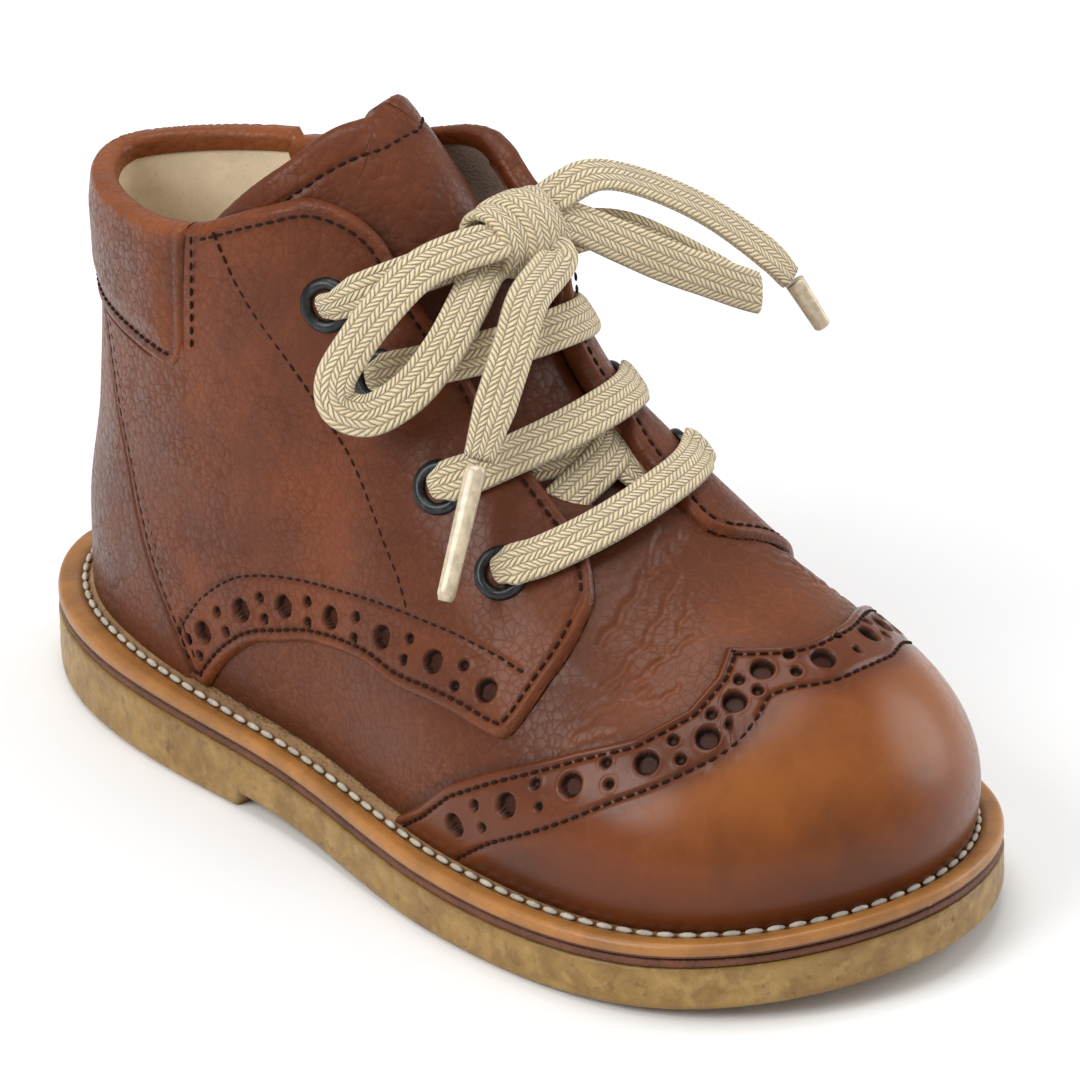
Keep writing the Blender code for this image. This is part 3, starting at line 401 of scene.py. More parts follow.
def closed_spline(points, samples):
    """Smooth closed curve through points, with its unit tangents."""
    p = np.array(points, float)
    n = len(p)
    chord = np.linalg.norm(np.roll(p, -1, 0) - p, axis=1)
    matrix = np.zeros((n, n))
    right = np.zeros((n, 2))
    for i in range(n):
        before, after = chord[i - 1], chord[i]
        matrix[i, i - 1] += before
        matrix[i, i] += 2 * (before + after)
        matrix[i, (i + 1) % n] += after
        right[i] = 6 * ((p[(i + 1) % n] - p[i]) / after - (p[i] - p[i - 1]) / before)
    second = np.linalg.solve(matrix, right)
    knots = np.concatenate([[0], np.cumsum(chord)])
    t = np.linspace(0, knots[-1], samples, endpoint=False)
    i = np.clip(np.searchsorted(knots, t, side="right") - 1, 0, n - 1)
    j = (i + 1) % n
    h = chord[i][:, None]
    b = ((t - knots[i]) / chord[i])[:, None]
    a = 1 - b
    bend = ((a**3 - a) * second[i] + (b**3 - b) * second[j]) * h * h / 6
    point = a * p[i] + b * p[j] + bend
    turn = ((3 * b * b - 1) * second[j] - (3 * a * a - 1) * second[i]) * h / 6
    tangent = (p[j] - p[i]) / h + turn
    return point, tangent / np.linalg.norm(tangent, axis=1)[:, None]


LOOP, LOOP_TANGENT = closed_spline(
    [(a * LENGTH, b * BALL_WIDTH) for a, b in
     [HEEL_BACK] + [(r[0], r[1]) for r in OUTLINE] + [TOE_TIP]
     + [(r[0], r[2]) for r in reversed(OUTLINE)]], 2400)


class Outline:
    """The outsole's outline moved inwards, by one width or by one that depends on x."""

    def __init__(self, inset):
        width = inset(LOOP[:, 0]) if callable(inset) else np.full(len(LOOP), float(inset))
        inward = np.stack([-LOOP_TANGENT[:, 1], LOOP_TANGENT[:, 0]], 1)
        loop = LOOP + width[:, None] * inward
        heel, toe = loop[:, 0].argmin(), loop[:, 0].argmax()
        ahead = (toe - heel) % len(loop)
        turned = np.roll(loop, -heel, axis=0)
        self.lateral = turned[: ahead + 1]
        self.medial = np.vstack([turned[ahead:], turned[:1]])[::-1]
        self.back, self.tip = self.lateral[0, 0], self.lateral[-1, 0]

    def at(self, foot, lateral):
        x = self.back + (self.tip - self.back) * foot
        y = np.where(
            lateral,
            np.interp(x, self.lateral[:, 0], self.lateral[:, 1]),
            np.interp(x, self.medial[:, 0], self.medial[:, 1]),
        )
        return np.stack([x, y], -1)


def feather_margin(x):
    share = x / LENGTH
    heel = np.clip((0.36 - share) / 0.18, 0, 1)
    toe = np.clip((share - 0.50) / 0.18, 0, 1)
    return WELT_MARGIN + (HEEL_MARGIN - WELT_MARGIN) * heel + (TOE_MARGIN - WELT_MARGIN) * toe


def tread(x):
    share = x / LENGTH
    arch = np.where(x > HEEL_LENGTH, curve(SOLE, 2, share), 0.0)
    return HEEL_STEP * arch + TOE_SPRING * curve(SOLE, 3, share)


def crepe_top(x):
    share = x / LENGTH
    return OUTSOLE + HEEL_RISE * curve(SOLE, 1, share) + TOE_SPRING * curve(SOLE, 3, share)


def seat(x):
    return crepe_top(x) + 2 * GAP + MIDSOLE + WELT


FEATHER = Outline(feather_margin)
BALL_SEAT = OUTSOLE + MIDSOLE + WELT + 2 * GAP
HEEL_SEAT = BALL_SEAT + HEEL_RISE


def foot_stations():
    line = FEATHER.lateral
    steps = np.diff(line, axis=0)
    length = np.linalg.norm(steps, axis=1)
    angle = np.unwrap(np.arctan2(steps[:, 1], steps[:, 0]))
    turning = np.concatenate([[0], np.abs(np.diff(angle))])
    station = np.concatenate([[0], np.cumsum(length + 22.0 * turning)])
    foot = (line[:, 0] - FEATHER.back) / (FEATHER.tip - FEATHER.back)
    return station / station[-1], foot


STATION, FOOT = foot_stations()


def station_of(foot):
    return np.interp(foot, FOOT, STATION)


def foot_of(w):
    """Foot share at a loop station of either side."""
    w = np.asarray(w) % 2
    return np.interp(np.where(w <= 1, w, 2 - w), STATION, FOOT)


def ridge_height(x):
    share = x / LENGTH
    rise = INSTEP_RISE * curve(SECTIONS, 1, share) + TOE_RISE * curve(SECTIONS, 2, share)
    return BALL_SEAT + rise


def spine(foot):
    middle = (FEATHER.at(foot, True)[..., 1] + FEATHER.at(foot, False)[..., 1]) / 2
    x = HEEL_CENTRE + (TOE_CENTRE - HEEL_CENTRE) * foot
    return np.stack([x, middle * foot + BALL_WIDTH * curve(SECTIONS, 5, foot)], -1)


def ridge_line(x):
    foot = (x - HEEL_CENTRE) / (TOE_CENTRE - HEEL_CENTRE)
    return spine(np.clip(foot, 0, 1))[..., 1]


def unfold(w, v):
    w, v = np.broadcast_arrays(np.asarray(w, float), np.asarray(v, float))
    over = v > 1
    w = np.where(over, 2 - w, w) % 2
    v = np.clip(np.where(over, 2 - v, v), 0, 1)
    lateral = w <= 1
    foot = np.interp(np.where(lateral, w, 2 - w), STATION, FOOT)
    return foot, v, lateral


def ease(t):
    t = np.clip(t, 0, 1)
    return t * t * (3 - 2 * t)


def last(w, v):
    """Outer face of the bare upper: w round the foot from the heel, v from welt to ridge."""
    foot, v, lateral = unfold(w, v)
    edge = FEATHER.at(foot, lateral)
    centre = spine(foot)
    share = edge[..., 0] / LENGTH
    turn = v * math.pi / 2
    out = np.cos(turn) ** (2 / curve(SECTIONS, 3, share))
    base = seat(edge[..., 0])
    x = centre[..., 0] + out * (edge[..., 0] - centre[..., 0])
    z = base + (ridge_height(x) - base) * np.sin(turn) ** (2 / curve(SECTIONS, 4, share))
    up = (z - HEEL_SEAT) / COLLAR_RISE
    waist = ease(edge[..., 0] / (0.37 * LENGTH))
    back = curve(BARREL, 1, up) * (1 - waist) + curve(BARREL, 2, up) * waist
    front = 1 + SWELL * np.sin(math.pi * np.clip((z - BALL_SEAT) / (0.85 * TOE_RISE), 0, 1))
    forefoot = ease((share - 0.44) / 0.22)
    factor = out * (back * (1 - forefoot) + front * forefoot)
    plane = centre + factor[..., None] * (edge - centre)
    return np.concatenate([plane, (z + GAP)[..., None]], -1)


def flare(point, medial):
    """How far the medial facing stands away from the tongue, growing to its upper corner."""
    x, y, z = point[..., 0], point[..., 1], point[..., 2]
    beside = np.abs(y - ridge_line(x)) - throat_width(x, False)
    near = (1 - np.clip(beside / FLARE_REACH, 0, 1)) ** 1.4
    high = ease((z - FLARE_START) / 14) * ease((x - 48) / 12)
    return np.where(medial, FLARE * near * high, 0.0)


def surface(w, v, flared=True):
    """Points of the bare upper's face and the ways out of it."""
    w, v = np.broadcast_arrays(np.asarray(w, float), np.asarray(v, float))
    step = 0.004
    tip = (np.abs(w - 1) < 0.01) & (v > 1 - step)
    beside = np.where(tip, 1 - 2 * step, v)
    along = last(w + step, beside) - last(w - step, beside)
    across = last(w, np.where(tip, v, v + step)) - last(w, np.maximum(v - step, 0))
    out = np.cross(along, across)
    out /= np.linalg.norm(out, axis=-1)[..., None]
    point = last(w, v)
    if flared:
        point = point + out * flare(point, w % 2 > 1)[..., None]
    return point, out


def collar_height(point, lateral):
    share = point[..., 0] / LENGTH
    rise = np.where(lateral, curve(COLLAR, 1, share), curve(COLLAR, 2, share))
    return BALL_SEAT + COLLAR_RISE * rise


def highest(w, allowed):
    """Largest v on each column whose point is still allowed."""
    low, high = np.zeros(len(w)), np.ones(len(w))
    whole = allowed(last(w, high), w % 2 <= 1)
    for _ in range(26):
        middle = (low + high) / 2
        fits = allowed(last(w, middle), w % 2 <= 1)
        low, high = np.where(fits, middle, low), np.where(fits, high, middle)
    return np.where(whole, 1.0, low)


def lift_at_height(w, height):
    return highest(w, lambda p, lateral: p[..., 2] < height)


def throat_width(x, lateral):
    edge = np.where(lateral, curve(THROAT, 1, x / LENGTH), curve(THROAT, 2, x / LENGTH))
    return np.abs(edge * BALL_WIDTH - ridge_line(x))


def leather_here(point, lateral, recess, closing=True):
    """Under the collar and outside the throat, with the upper corner rounded."""
    below = collar_height(point, lateral) - recess - point[..., 2]
    x = point[..., 0]
    ahead = np.clip((x - (THROAT_END - THROAT_ROUND)) / THROAT_ROUND, 0, 1) * closing
    half = (throat_width(x, lateral) + recess) * np.sqrt(1 - ahead**2)
    beside = np.abs(point[..., 1] - ridge_line(x)) - half
    beside = np.where((x > THROAT_END) | (x < HEEL_CENTRE), COLLAR_CORNER, beside)
    a = np.maximum(COLLAR_CORNER - below, 0)
    b = np.maximum(COLLAR_CORNER - beside, 0)
    corner = np.where(below < COLLAR_CORNER, a * a + b * b < COLLAR_CORNER**2, True)
    return (below > 0) & (beside >= 0) & corner


def wing_edge(w):
    foot = foot_of(w)
    rows = np.array(WING)
    lateral = np.interp(foot, rows[:, 0], rows[:, 1])
    return np.where(np.asarray(w) % 2 <= 1, lateral, curve(WING, 2, foot))


def place(foot, v, side, lift=0.0):
    """Point and way out at a foot share and a share of the way to the ridge."""
    w = station_of(foot) if side < 0 else 2 - station_of(foot)
    base, out = surface(np.array([float(w)]), np.array([float(v)]))
    return Vector(base[0] + lift * out[0]), Vector(out[0])


# Mesh helpers

def metres(points):
    return (np.asarray(points, float) - (HEEL_CENTRE, 0, 0)) / 1000


def mesh_piece(name, points, faces, marks=None, turn=True, uv=None):
    """Object from points in millimetres, with marks as point attributes; with turn on, doubles are
    merged and normals recalculated.
    """
    mesh = bpy.data.meshes.new(name)
    mesh.from_pydata(metres(points).tolist(), [], np.asarray(faces).tolist()
                     if isinstance(faces, np.ndarray) else faces)
    for label, values in (marks or {}).items():
        layer = mesh.attributes.new(label, "FLOAT", "POINT")
        layer.data.foreach_set("value", np.asarray(values, np.float32).ravel())
    if uv is not None:
        layer = mesh.uv_layers.new(name="Band")
        loops = np.zeros(len(mesh.loops), np.int32)
        mesh.loops.foreach_get("vertex_index", loops)
        layer.data.foreach_set("uv", np.asarray(uv, np.float32)[loops].ravel())
    shape = bmesh.new()
    shape.from_mesh(mesh)
    if turn:
        bmesh.ops.remove_doubles(shape, verts=shape.verts, dist=1e-5)
        bmesh.ops.recalc_face_normals(shape, faces=shape.faces)
    shape.to_mesh(mesh)
    shape.free()
    mesh.shade_smooth()
    made = bpy.data.objects.new(name, mesh)
    bpy.context.scene.collection.objects.link(made)
    return made


def grid_faces(columns, rows, closed=False, start=0):
    index = start + np.arange(columns * rows).reshape(columns, rows)
    if closed:
        index = np.vstack([index, index[:1]])
    quads = np.stack([index[:-1, :-1], index[1:, :-1], index[1:, 1:], index[:-1, 1:]], -1)
    return quads.reshape(-1, 4)


def nearest(points, line):
    """Distance of each point to the closest point of a dense line."""
    flat = points.reshape(-1, 3)
    line = np.asarray(line).reshape(-1, 3)
    best = np.full(len(flat), 1e9)
    square = (line**2).sum(1)
    for start in range(0, len(flat), 8000):
        part = flat[start : start + 8000]
        gap = (part**2).sum(1)[:, None] + square[None] - 2 * part @ line.T
        best[start : start + 8000] = np.sqrt(np.maximum(gap.min(1), 0))
    return best.reshape(points.shape[:-1])


def dense(line, spacing=0.2):
    """The same line with evenly spaced points."""
    line = np.asarray(line, float)
    length = np.concatenate([[0], np.cumsum(np.linalg.norm(np.diff(line, axis=0), axis=1))])
    count = max(2, int(length[-1] / spacing))
    t = np.linspace(0, length[-1], count)
    return np.stack([np.interp(t, length, line[:, k]) for k in range(3)], -1)


def bump(distance, centre, width):
    return np.exp(-(((distance - centre) / width) ** 2))


def rounded(distance, radius):
    """Quarter-round rise from an edge, 0 at the edge and 1 past the radius."""
    return np.sqrt(1 - (1 - np.clip(distance / radius, 0, 1)) ** 2)


def perforate(points, large, small):
    """Depth of punched holes, and the painted shade in them: strongest on each hole's wall, about
    half on its floor.
    """
    depth = np.zeros(points.shape[:-1])
    shade = np.zeros(points.shape[:-1])
    for centres, radius, deep in ((large, 1.38, 1.05), (small, 0.62, 0.7)):
        if len(centres) == 0:
            continue
        d = nearest(points, centres)
        inside = 1 - ease((d - radius + 0.18) / 0.42)
        depth += deep * inside - 0.10 * bump(d, radius + 0.38, 0.22)
        shade = np.maximum(shade, np.maximum(inside * 0.55, bump(d, radius - 0.12, 0.24)))
    return depth, shade


def pairs_between(points, outs, reach):
    """Two small holes across the line at each middle between large ones."""
    made = []
    for a, b, out in zip(points[:-1], points[1:], outs[:-1]):
        ahead = (b - a) / np.linalg.norm(b - a)
        across = np.cross(out, ahead)
        across /= np.linalg.norm(across)
        if np.linalg.norm(b - a) < 14:
            made += [(a + b) / 2 + across * reach, (a + b) / 2 - across * reach]
    return made


def inside_line(w, v, side, distance, lift):
    """Line on the leather at a distance inside an edge given by stations and shares."""
    base, out = surface(w, v)
    ahead = np.gradient(base, axis=0)
    ahead /= np.linalg.norm(ahead, axis=1)[:, None]
    across = np.cross(out, ahead) * side
    line = base + across * distance + out * lift
    kernel = np.hanning(9) / np.hanning(9).sum()
    padded = np.vstack([np.repeat(line[:1], 4, 0), line, np.repeat(line[-1:], 4, 0)])
    return np.stack([np.convolve(padded[:, k], kernel, "valid") for k in range(3)], -1)


# Node helpers

class Graph:
    """Short way to add nodes to a tree and to link them."""

    def __init__(self, tree):
        self.tree = tree

    def add(self, kind, inputs=None, **settings):
        node = self.tree.nodes.new(kind)
        for key, value in settings.items():
            setattr(node, key, value)
        for key, value in (inputs or {}).items():
            if isinstance(value, bpy.types.NodeSocket):
                self.tree.links.new(value, node.inputs[key])
            elif value is not None:
                node.inputs[key].default_value = value
        return node

    def math(self, operation, a, b=None, c=None, clamp=False):
        inputs = {0: a}
        if b is not None:
            inputs[1] = b
        if c is not None:
            inputs[2] = c
        return self.add("ShaderNodeMath", inputs, operation=operation, use_clamp=clamp).outputs[0]

    def mix(self, factor, a, b, blend="MIX"):
        node = self.add("ShaderNodeMix", {0: factor, 6: a, 7: b},
                        data_type="RGBA", blend_type=blend)
        return node.outputs[2]

    def ramp(self, value, low, high, to_low=0.0, to_high=1.0):
        return self.add("ShaderNodeMapRange", {
            "Value": value, "From Min": low, "From Max": high,
            "To Min": to_low, "To Max": to_high}, interpolation_type="SMOOTHSTEP").outputs[0]

    def noise(self, vector, scale, detail=3.0, rough=0.55, warp=0.0):
        return self.add("ShaderNodeTexNoise", {
            "Vector": vector, "Scale": scale, "Detail": detail,
            "Roughness": rough, "Distortion": warp}).outputs["Fac"]


def rgba(colour, factor=1.0):
    return (colour[0] * factor, colour[1] * factor, colour[2] * factor, 1.0)


def grain_group():
    """Tumbled leather: rounded pebbles between branching folds, in the object's own metres."""
    name = "Pebbled grain"
    if name in bpy.data.node_groups:
        return bpy.data.node_groups[name]
    tree = bpy.data.node_groups.new(name, "ShaderNodeTree")
    face = tree.interface
    face.new_socket("Vector", in_out="INPUT", socket_type="NodeSocketVector")
    for label, value in (("Pebbles per metre", 800.0), ("Warp", 0.42)):
        socket = face.new_socket(label, in_out="INPUT", socket_type="NodeSocketFloat")
        socket.default_value = value
    for label in ("Height", "Fold", "Patina", "Valley"):
        face.new_socket(label, in_out="OUTPUT", socket_type="NodeSocketFloat")
    g = Graph(tree)
    start = g.add("NodeGroupInput").outputs
    swirl = g.add("ShaderNodeTexNoise", {"Vector": start[0], "Scale": 260.0, "Detail": 2.0})
    shift = g.add("ShaderNodeVectorMath", {0: swirl.outputs["Color"], 1: (0.5, 0.5, 0.5)},
                  operation="SUBTRACT")
    amount = g.math("MULTIPLY", start[2], 0.0045)
    scaled = g.add("ShaderNodeVectorMath", {0: shift.outputs[0], "Scale": amount},
                   operation="SCALE")
    bent = g.add("ShaderNodeVectorMath", {0: start[0], 1: scaled.outputs[0]}, operation="ADD")
    coarse_scale = g.math("MULTIPLY", start[1], 0.42)

    def voronoi(scale, feature):
        node = g.add("ShaderNodeTexVoronoi", {"Vector": bent.outputs[0], "Scale": scale,
                                              "Randomness": 1.0}, feature=feature)
        return node.outputs["Distance"]

    cells, coarse = voronoi(start[1], "DISTANCE_TO_EDGE"), voronoi(coarse_scale, "DISTANCE_TO_EDGE")
    pebble = g.math("SUBTRACT", 1.0, g.math("POWER", voronoi(start[1], "F1"), 2.0))
    big = g.math("SUBTRACT", 1.0, g.math("POWER", voronoi(coarse_scale, "F1"), 2.0))
    fine = g.noise(start[0], 3200.0, 3.0)
    presence = g.ramp(g.noise(start[0], 95.0, 2.0), 0.34, 0.62, 0.50, 1.0)
    height = g.math("MULTIPLY_ADD", pebble, 0.62, g.math("MULTIPLY", big, 0.55))
    height = g.math("MULTIPLY_ADD", height, presence, g.math("MULTIPLY", fine, 0.12))
    fold = g.math("SUBTRACT", 1.0, g.ramp(coarse, 0.0, 0.07), clamp=True)
    spot = g.math("SUBTRACT", 1.0, g.ramp(cells, 0.0, 0.13), clamp=True)
    line = g.math("MULTIPLY_ADD", spot, 0.35, fold, clamp=True)
    patina = g.math("MULTIPLY_ADD", g.noise(start[0], 42.0, 4.0, 0.6), 0.65,
                    g.math("MULTIPLY", g.noise(start[0], 160.0, 3.0), 0.35))
    # Valley marks the narrow gaps between pebbles, where the leather gets painted shade
    g.add("NodeGroupOutput", {"Height": height, "Fold": line, "Patina": patina,
                              "Valley": g.math("MULTIPLY", spot, presence)})
    return tree


def speckle_group():
    """Soft blotches and fine specks, for crepe and the plain leathers."""
    name = "Mottle"
    if name in bpy.data.node_groups:
        return bpy.data.node_groups[name]
    tree = bpy.data.node_groups.new(name, "ShaderNodeTree")
    face = tree.interface
    face.new_socket("Vector", in_out="INPUT", socket_type="NodeSocketVector")
    for label, value in (("Blotch scale", 120.0), ("Speck scale", 900.0)):
        socket = face.new_socket(label, in_out="INPUT", socket_type="NodeSocketFloat")
        socket.default_value = value
    for label in ("Blotch", "Specks", "Height"):
        face.new_socket(label, in_out="OUTPUT", socket_type="NodeSocketFloat")
    g = Graph(tree)
    start = g.add("NodeGroupInput").outputs
    blotch = g.noise(start[0], start[1], 5.0, 0.62, 0.4)
    speck = g.noise(start[0], start[2], 3.0, 0.6)
    lumps = g.add("ShaderNodeTexVoronoi", {"Vector": start[0], "Scale": start[2]},
                  feature="SMOOTH_F1")
    height = g.math("MULTIPLY_ADD", lumps.outputs["Distance"], -0.8, g.math(
        "MULTIPLY", blotch, 0.9))
    g.add("NodeGroupOutput", {"Blotch": blotch, "Specks": g.ramp(speck, 0.58, 0.72),
                              "Height": height})
    return tree


def new_material(name):
    made = bpy.data.materials.new(name)
    made.use_nodes = True
    made.node_tree.nodes.clear()
    g = Graph(made.node_tree)
    shader = g.add("ShaderNodeBsdfPrincipled")
    end = g.add("ShaderNodeOutputMaterial")
    made.node_tree.links.new(shader.outputs[0], end.inputs[0])
    return made, g, shader


def link(g, value, socket):
    g.tree.links.new(value, socket)


def object_vector(g):
    return g.add("ShaderNodeTexCoord").outputs["Object"]


def mark(g, label):
    return g.add("ShaderNodeAttribute", attribute_name=label).outputs["Fac"]


MATT_HOLLOW = 0.35      # added to the roughness in holes and between pebbles


def leather(name, base, light, dark, pebbles=800.0, depth=0.46, rough=(0.34, 0.48), coat=0.26,
            folds=0.16, patina=(0.36, 0.64)):
    """Pebbled leather with worn, lighter folds, painted shade between the pebbles, at seams and in
    the dull, punched holes, darker burnished patches, and painted light where marked.
    """
    made, g, shader = new_material(name)
    vector = object_vector(g)
    grain = g.add("ShaderNodeGroup", {"Vector": vector, "Pebbles per metre": pebbles},
                  node_tree=grain_group())
    height, fold, tone, valley = grain.outputs
    colour = g.mix(g.ramp(tone, patina[0], patina[1]), rgba(dark), rgba(base))
    wear = g.math("MULTIPLY", fold, g.ramp(tone, 0.42, 0.66, 0.15, 1.0))
    # Painted shade: the gaps between pebbles darken towards the dark leather colour
    colour = g.mix(g.math("MULTIPLY", valley, depth * 0.55), colour, rgba(dark, 0.45))
    colour = g.mix(g.math("MULTIPLY", wear, folds), colour, rgba(light))
    crease = mark(g, "crease")
    colour = g.mix(g.math("MULTIPLY", crease, g.ramp(tone, 0.3, 0.7, 0.10, 0.40)),
                   colour, rgba(light))
    # Painted shade at seams, grooves, under overlapping edges and deep in the throat, with
    # burnishing on the wing tip's strip: marked areas darken towards the dark leather colour
    colour = g.mix(g.math("MULTIPLY", mark(g, "shade_and_burnish"), 0.72), colour, rgba(dark, 0.55))
    # Painted light: marked areas, such as the top of the toe and the collar band's rim, lighten as
    # if lit
    colour = g.mix(g.math("MULTIPLY", mark(g, "painted_light"), g.ramp(tone, 0.25, 0.7, 0.55, 1.0)),
                   colour, rgba(light))
    hole = mark(g, "hole")
    # Painted shade inside the punched holes
    colour = g.mix(g.math("MULTIPLY", hole, 1.25, clamp=True), colour, rgba(dark, 0.12))
    dull = g.math("SUBTRACT", 1.0, g.math("MULTIPLY", hole, 1.3, clamp=True))
    shade = g.math("MULTIPLY", valley, min(1.0, 2 * depth) * 0.70)
    dull = g.math("MULTIPLY", dull, g.math("SUBTRACT", 1.0, shade))
    link(g, colour, shader.inputs["Base Color"])
    matt = g.math("MULTIPLY_ADD", fold, 0.10, g.ramp(tone, 0.3, 0.7, rough[0], rough[1]))
    matt = g.math("MULTIPLY_ADD", g.math("SUBTRACT", 1.0, dull), MATT_HOLLOW, matt, clamp=True)
    link(g, matt, shader.inputs["Roughness"])
    relief = g.add("ShaderNodeBump", {"Strength": 0.6, "Distance": depth / 1000,
                                      "Height": height})
    link(g, relief.outputs[0], shader.inputs["Normal"])
    link(g, g.math("MULTIPLY", dull, coat), shader.inputs["Coat Weight"])
    shader.inputs["Specular IOR Level"].default_value = 0.17
    shader.inputs["Coat IOR"].default_value = 1.4
    shader.inputs["Coat Roughness"].default_value = 0.26
    return made


def plain_leather(name, base, dark, rough=0.5, fibre=900.0, strength=0.4, distance=0.12):
    """Smooth or raw leather: fine noise grain and soft blotches."""
    made, g, shader = new_material(name)
    vector = object_vector(g)
    mottle = g.add("ShaderNodeGroup", {"Vector": vector, "Blotch scale": 140.0,
                                       "Speck scale": fibre}, node_tree=speckle_group())
    colour = g.mix(g.ramp(mottle.outputs["Blotch"], 0.32, 0.68), rgba(dark), rgba(base))
    colour = g.mix(g.math("MULTIPLY", mottle.outputs["Specks"], 0.35), colour, rgba(dark, 0.7))
    # Painted shade where marked: in the welt's stitch groove, under its rounded edge and beside the
    # upper
    colour = g.mix(g.math("MULTIPLY", mark(g, "shade_and_burnish"), 0.7), colour, rgba(dark, 0.6))
    link(g, colour, shader.inputs["Base Color"])
    relief = g.add("ShaderNodeBump", {"Strength": strength, "Distance": distance / 1000,
                                      "Height": mottle.outputs["Height"]})
    link(g, relief.outputs[0], shader.inputs["Normal"])
    shader.inputs["Roughness"].default_value = rough
    return made


def crepe_material(base, light, dark):
    made, g, shader = new_material("crepe_rubber")
    vector = object_vector(g)
    mottle = g.add("ShaderNodeGroup", {"Vector": vector, "Blotch scale": 210.0,
                                       "Speck scale": 620.0}, node_tree=speckle_group())
    colour = g.mix(g.ramp(mottle.outputs["Blotch"], 0.36, 0.62), rgba(dark), rgba(base))
    high = g.ramp(g.noise(vector, 340.0, 4.0, 0.65), 0.52, 0.70)
    colour = g.mix(g.math("MULTIPLY", high, 0.7), colour, rgba(light))
    colour = g.mix(g.math("MULTIPLY", mottle.outputs["Specks"], 0.6), colour, rgba(dark, 0.5))
    # Darker where marked: towards the tread, and painted shade at the top where the crepe meets the
    # runner
    colour = g.mix(g.math("MULTIPLY", mark(g, "shade_and_burnish"), 0.8), colour, rgba(dark, 0.75))
    link(g, colour, shader.inputs["Base Color"])
    relief = g.add("ShaderNodeBump", {"Strength": 0.8, "Distance": 0.00055,
                                      "Height": mottle.outputs["Height"]})
    link(g, relief.outputs[0], shader.inputs["Normal"])
    shader.inputs["Roughness"].default_value = 0.42
    shader.inputs["Subsurface Weight"].default_value = 0.12
    shader.inputs["Subsurface Radius"].default_value = (0.9, 0.6, 0.2)
    shader.inputs["Subsurface Scale"].default_value = 0.0015
    return made


def thread_material(name, base, rough=0.6):
    made, g, shader = new_material(name)
    vector = object_vector(g)
    tone = g.noise(vector, 700.0, 2.0)
    link(g, g.mix(g.ramp(tone, 0.3, 0.7), rgba(base, 0.7), rgba(base)),
         shader.inputs["Base Color"])
    shader.inputs["Roughness"].default_value = rough
    shader.inputs["Specular IOR Level"].default_value = 0.15
    return made


def lace_material(base, dark):
    """Flat cotton lace in herringbone: slanting threads that turn at each band across it."""
    made, g, shader = new_material("lace_cotton_weave")
    split = g.add("ShaderNodeSeparateXYZ", {0: g.add("ShaderNodeUVMap", uv_map="Band").outputs[0]})
    along, across = split.outputs[0], split.outputs[1]
    band_width = 1.08
    band = g.math("FLOOR", g.math("DIVIDE", across, band_width))
    odd = g.math("PINGPONG", band, 1.0)
    sign = g.math("MULTIPLY_ADD", odd, -2.0, 1.0)
    inside = g.math("FRACT", g.math("DIVIDE", across, band_width))
    slant = g.math("MULTIPLY", g.math("MULTIPLY", inside, sign), 1.10)
    vector = object_vector(g)
    uneven = g.math("MULTIPLY_ADD", g.noise(vector, 1100.0, 2.0), 0.55, along)
    phase = g.math("MULTIPLY", g.math("ADD", uneven, slant), math.pi / 0.80)
    thread = g.math("ABSOLUTE", g.math("SINE", phase))
    wall = g.math("SINE", g.math("MULTIPLY", inside, math.pi))
    height = g.math("MULTIPLY", g.math("POWER", thread, 0.55), g.math("POWER", wall, 0.35))
    fluff = g.noise(vector, 3200.0, 3.0)
    tone = g.noise(vector, 130.0, 3.0)
    # Painted shade: the weave darkens in the gaps between the threads
    colour = g.mix(g.ramp(height, 0.10, 0.80), rgba(dark), rgba(base))
    colour = g.mix(g.ramp(tone, 0.35, 0.75, 0.0, 0.18), colour, rgba(dark))
    colour = g.mix(g.ramp(fluff, 0.5, 0.75, 0.0, 0.35), colour, rgba(base, 1.25))
    link(g, colour, shader.inputs["Base Color"])
    total = g.math("MULTIPLY_ADD", fluff, 0.25, height)
    relief = g.add("ShaderNodeBump", {"Strength": 1.0, "Distance": 0.00045, "Height": total})
    link(g, relief.outputs[0], shader.inputs["Normal"])
    shader.inputs["Roughness"].default_value = 0.92
    shader.inputs["Sheen Weight"].default_value = 0.35
    shader.inputs["Sheen Roughness"].default_value = 0.5
    return made


def metal_material(base):
    made, g, shader = new_material("gunmetal_lacquer")
    wear = g.noise(object_vector(g), 900.0, 3.0)
    link(g, g.mix(g.ramp(wear, 0.45, 0.75), rgba(base), rgba(base, 1.9)),
         shader.inputs["Base Color"])
    link(g, g.ramp(wear, 0.3, 0.7, 0.26, 0.42), shader.inputs["Roughness"])
    shader.inputs["Metallic"].default_value = 0.85
    return made


def aglet_material(base):
    made, g, shader = new_material("aglet_film")
    tone = g.noise(object_vector(g), 900.0, 3.0)
    link(g, g.mix(g.ramp(tone, 0.35, 0.65), rgba(base, 0.72), rgba(base)),
         shader.inputs["Base Color"])
    shader.inputs["Roughness"].default_value = 0.22
    shader.inputs["Coat Weight"].default_value = 0.6
    shader.inputs["Coat Roughness"].default_value = 0.12
    return made


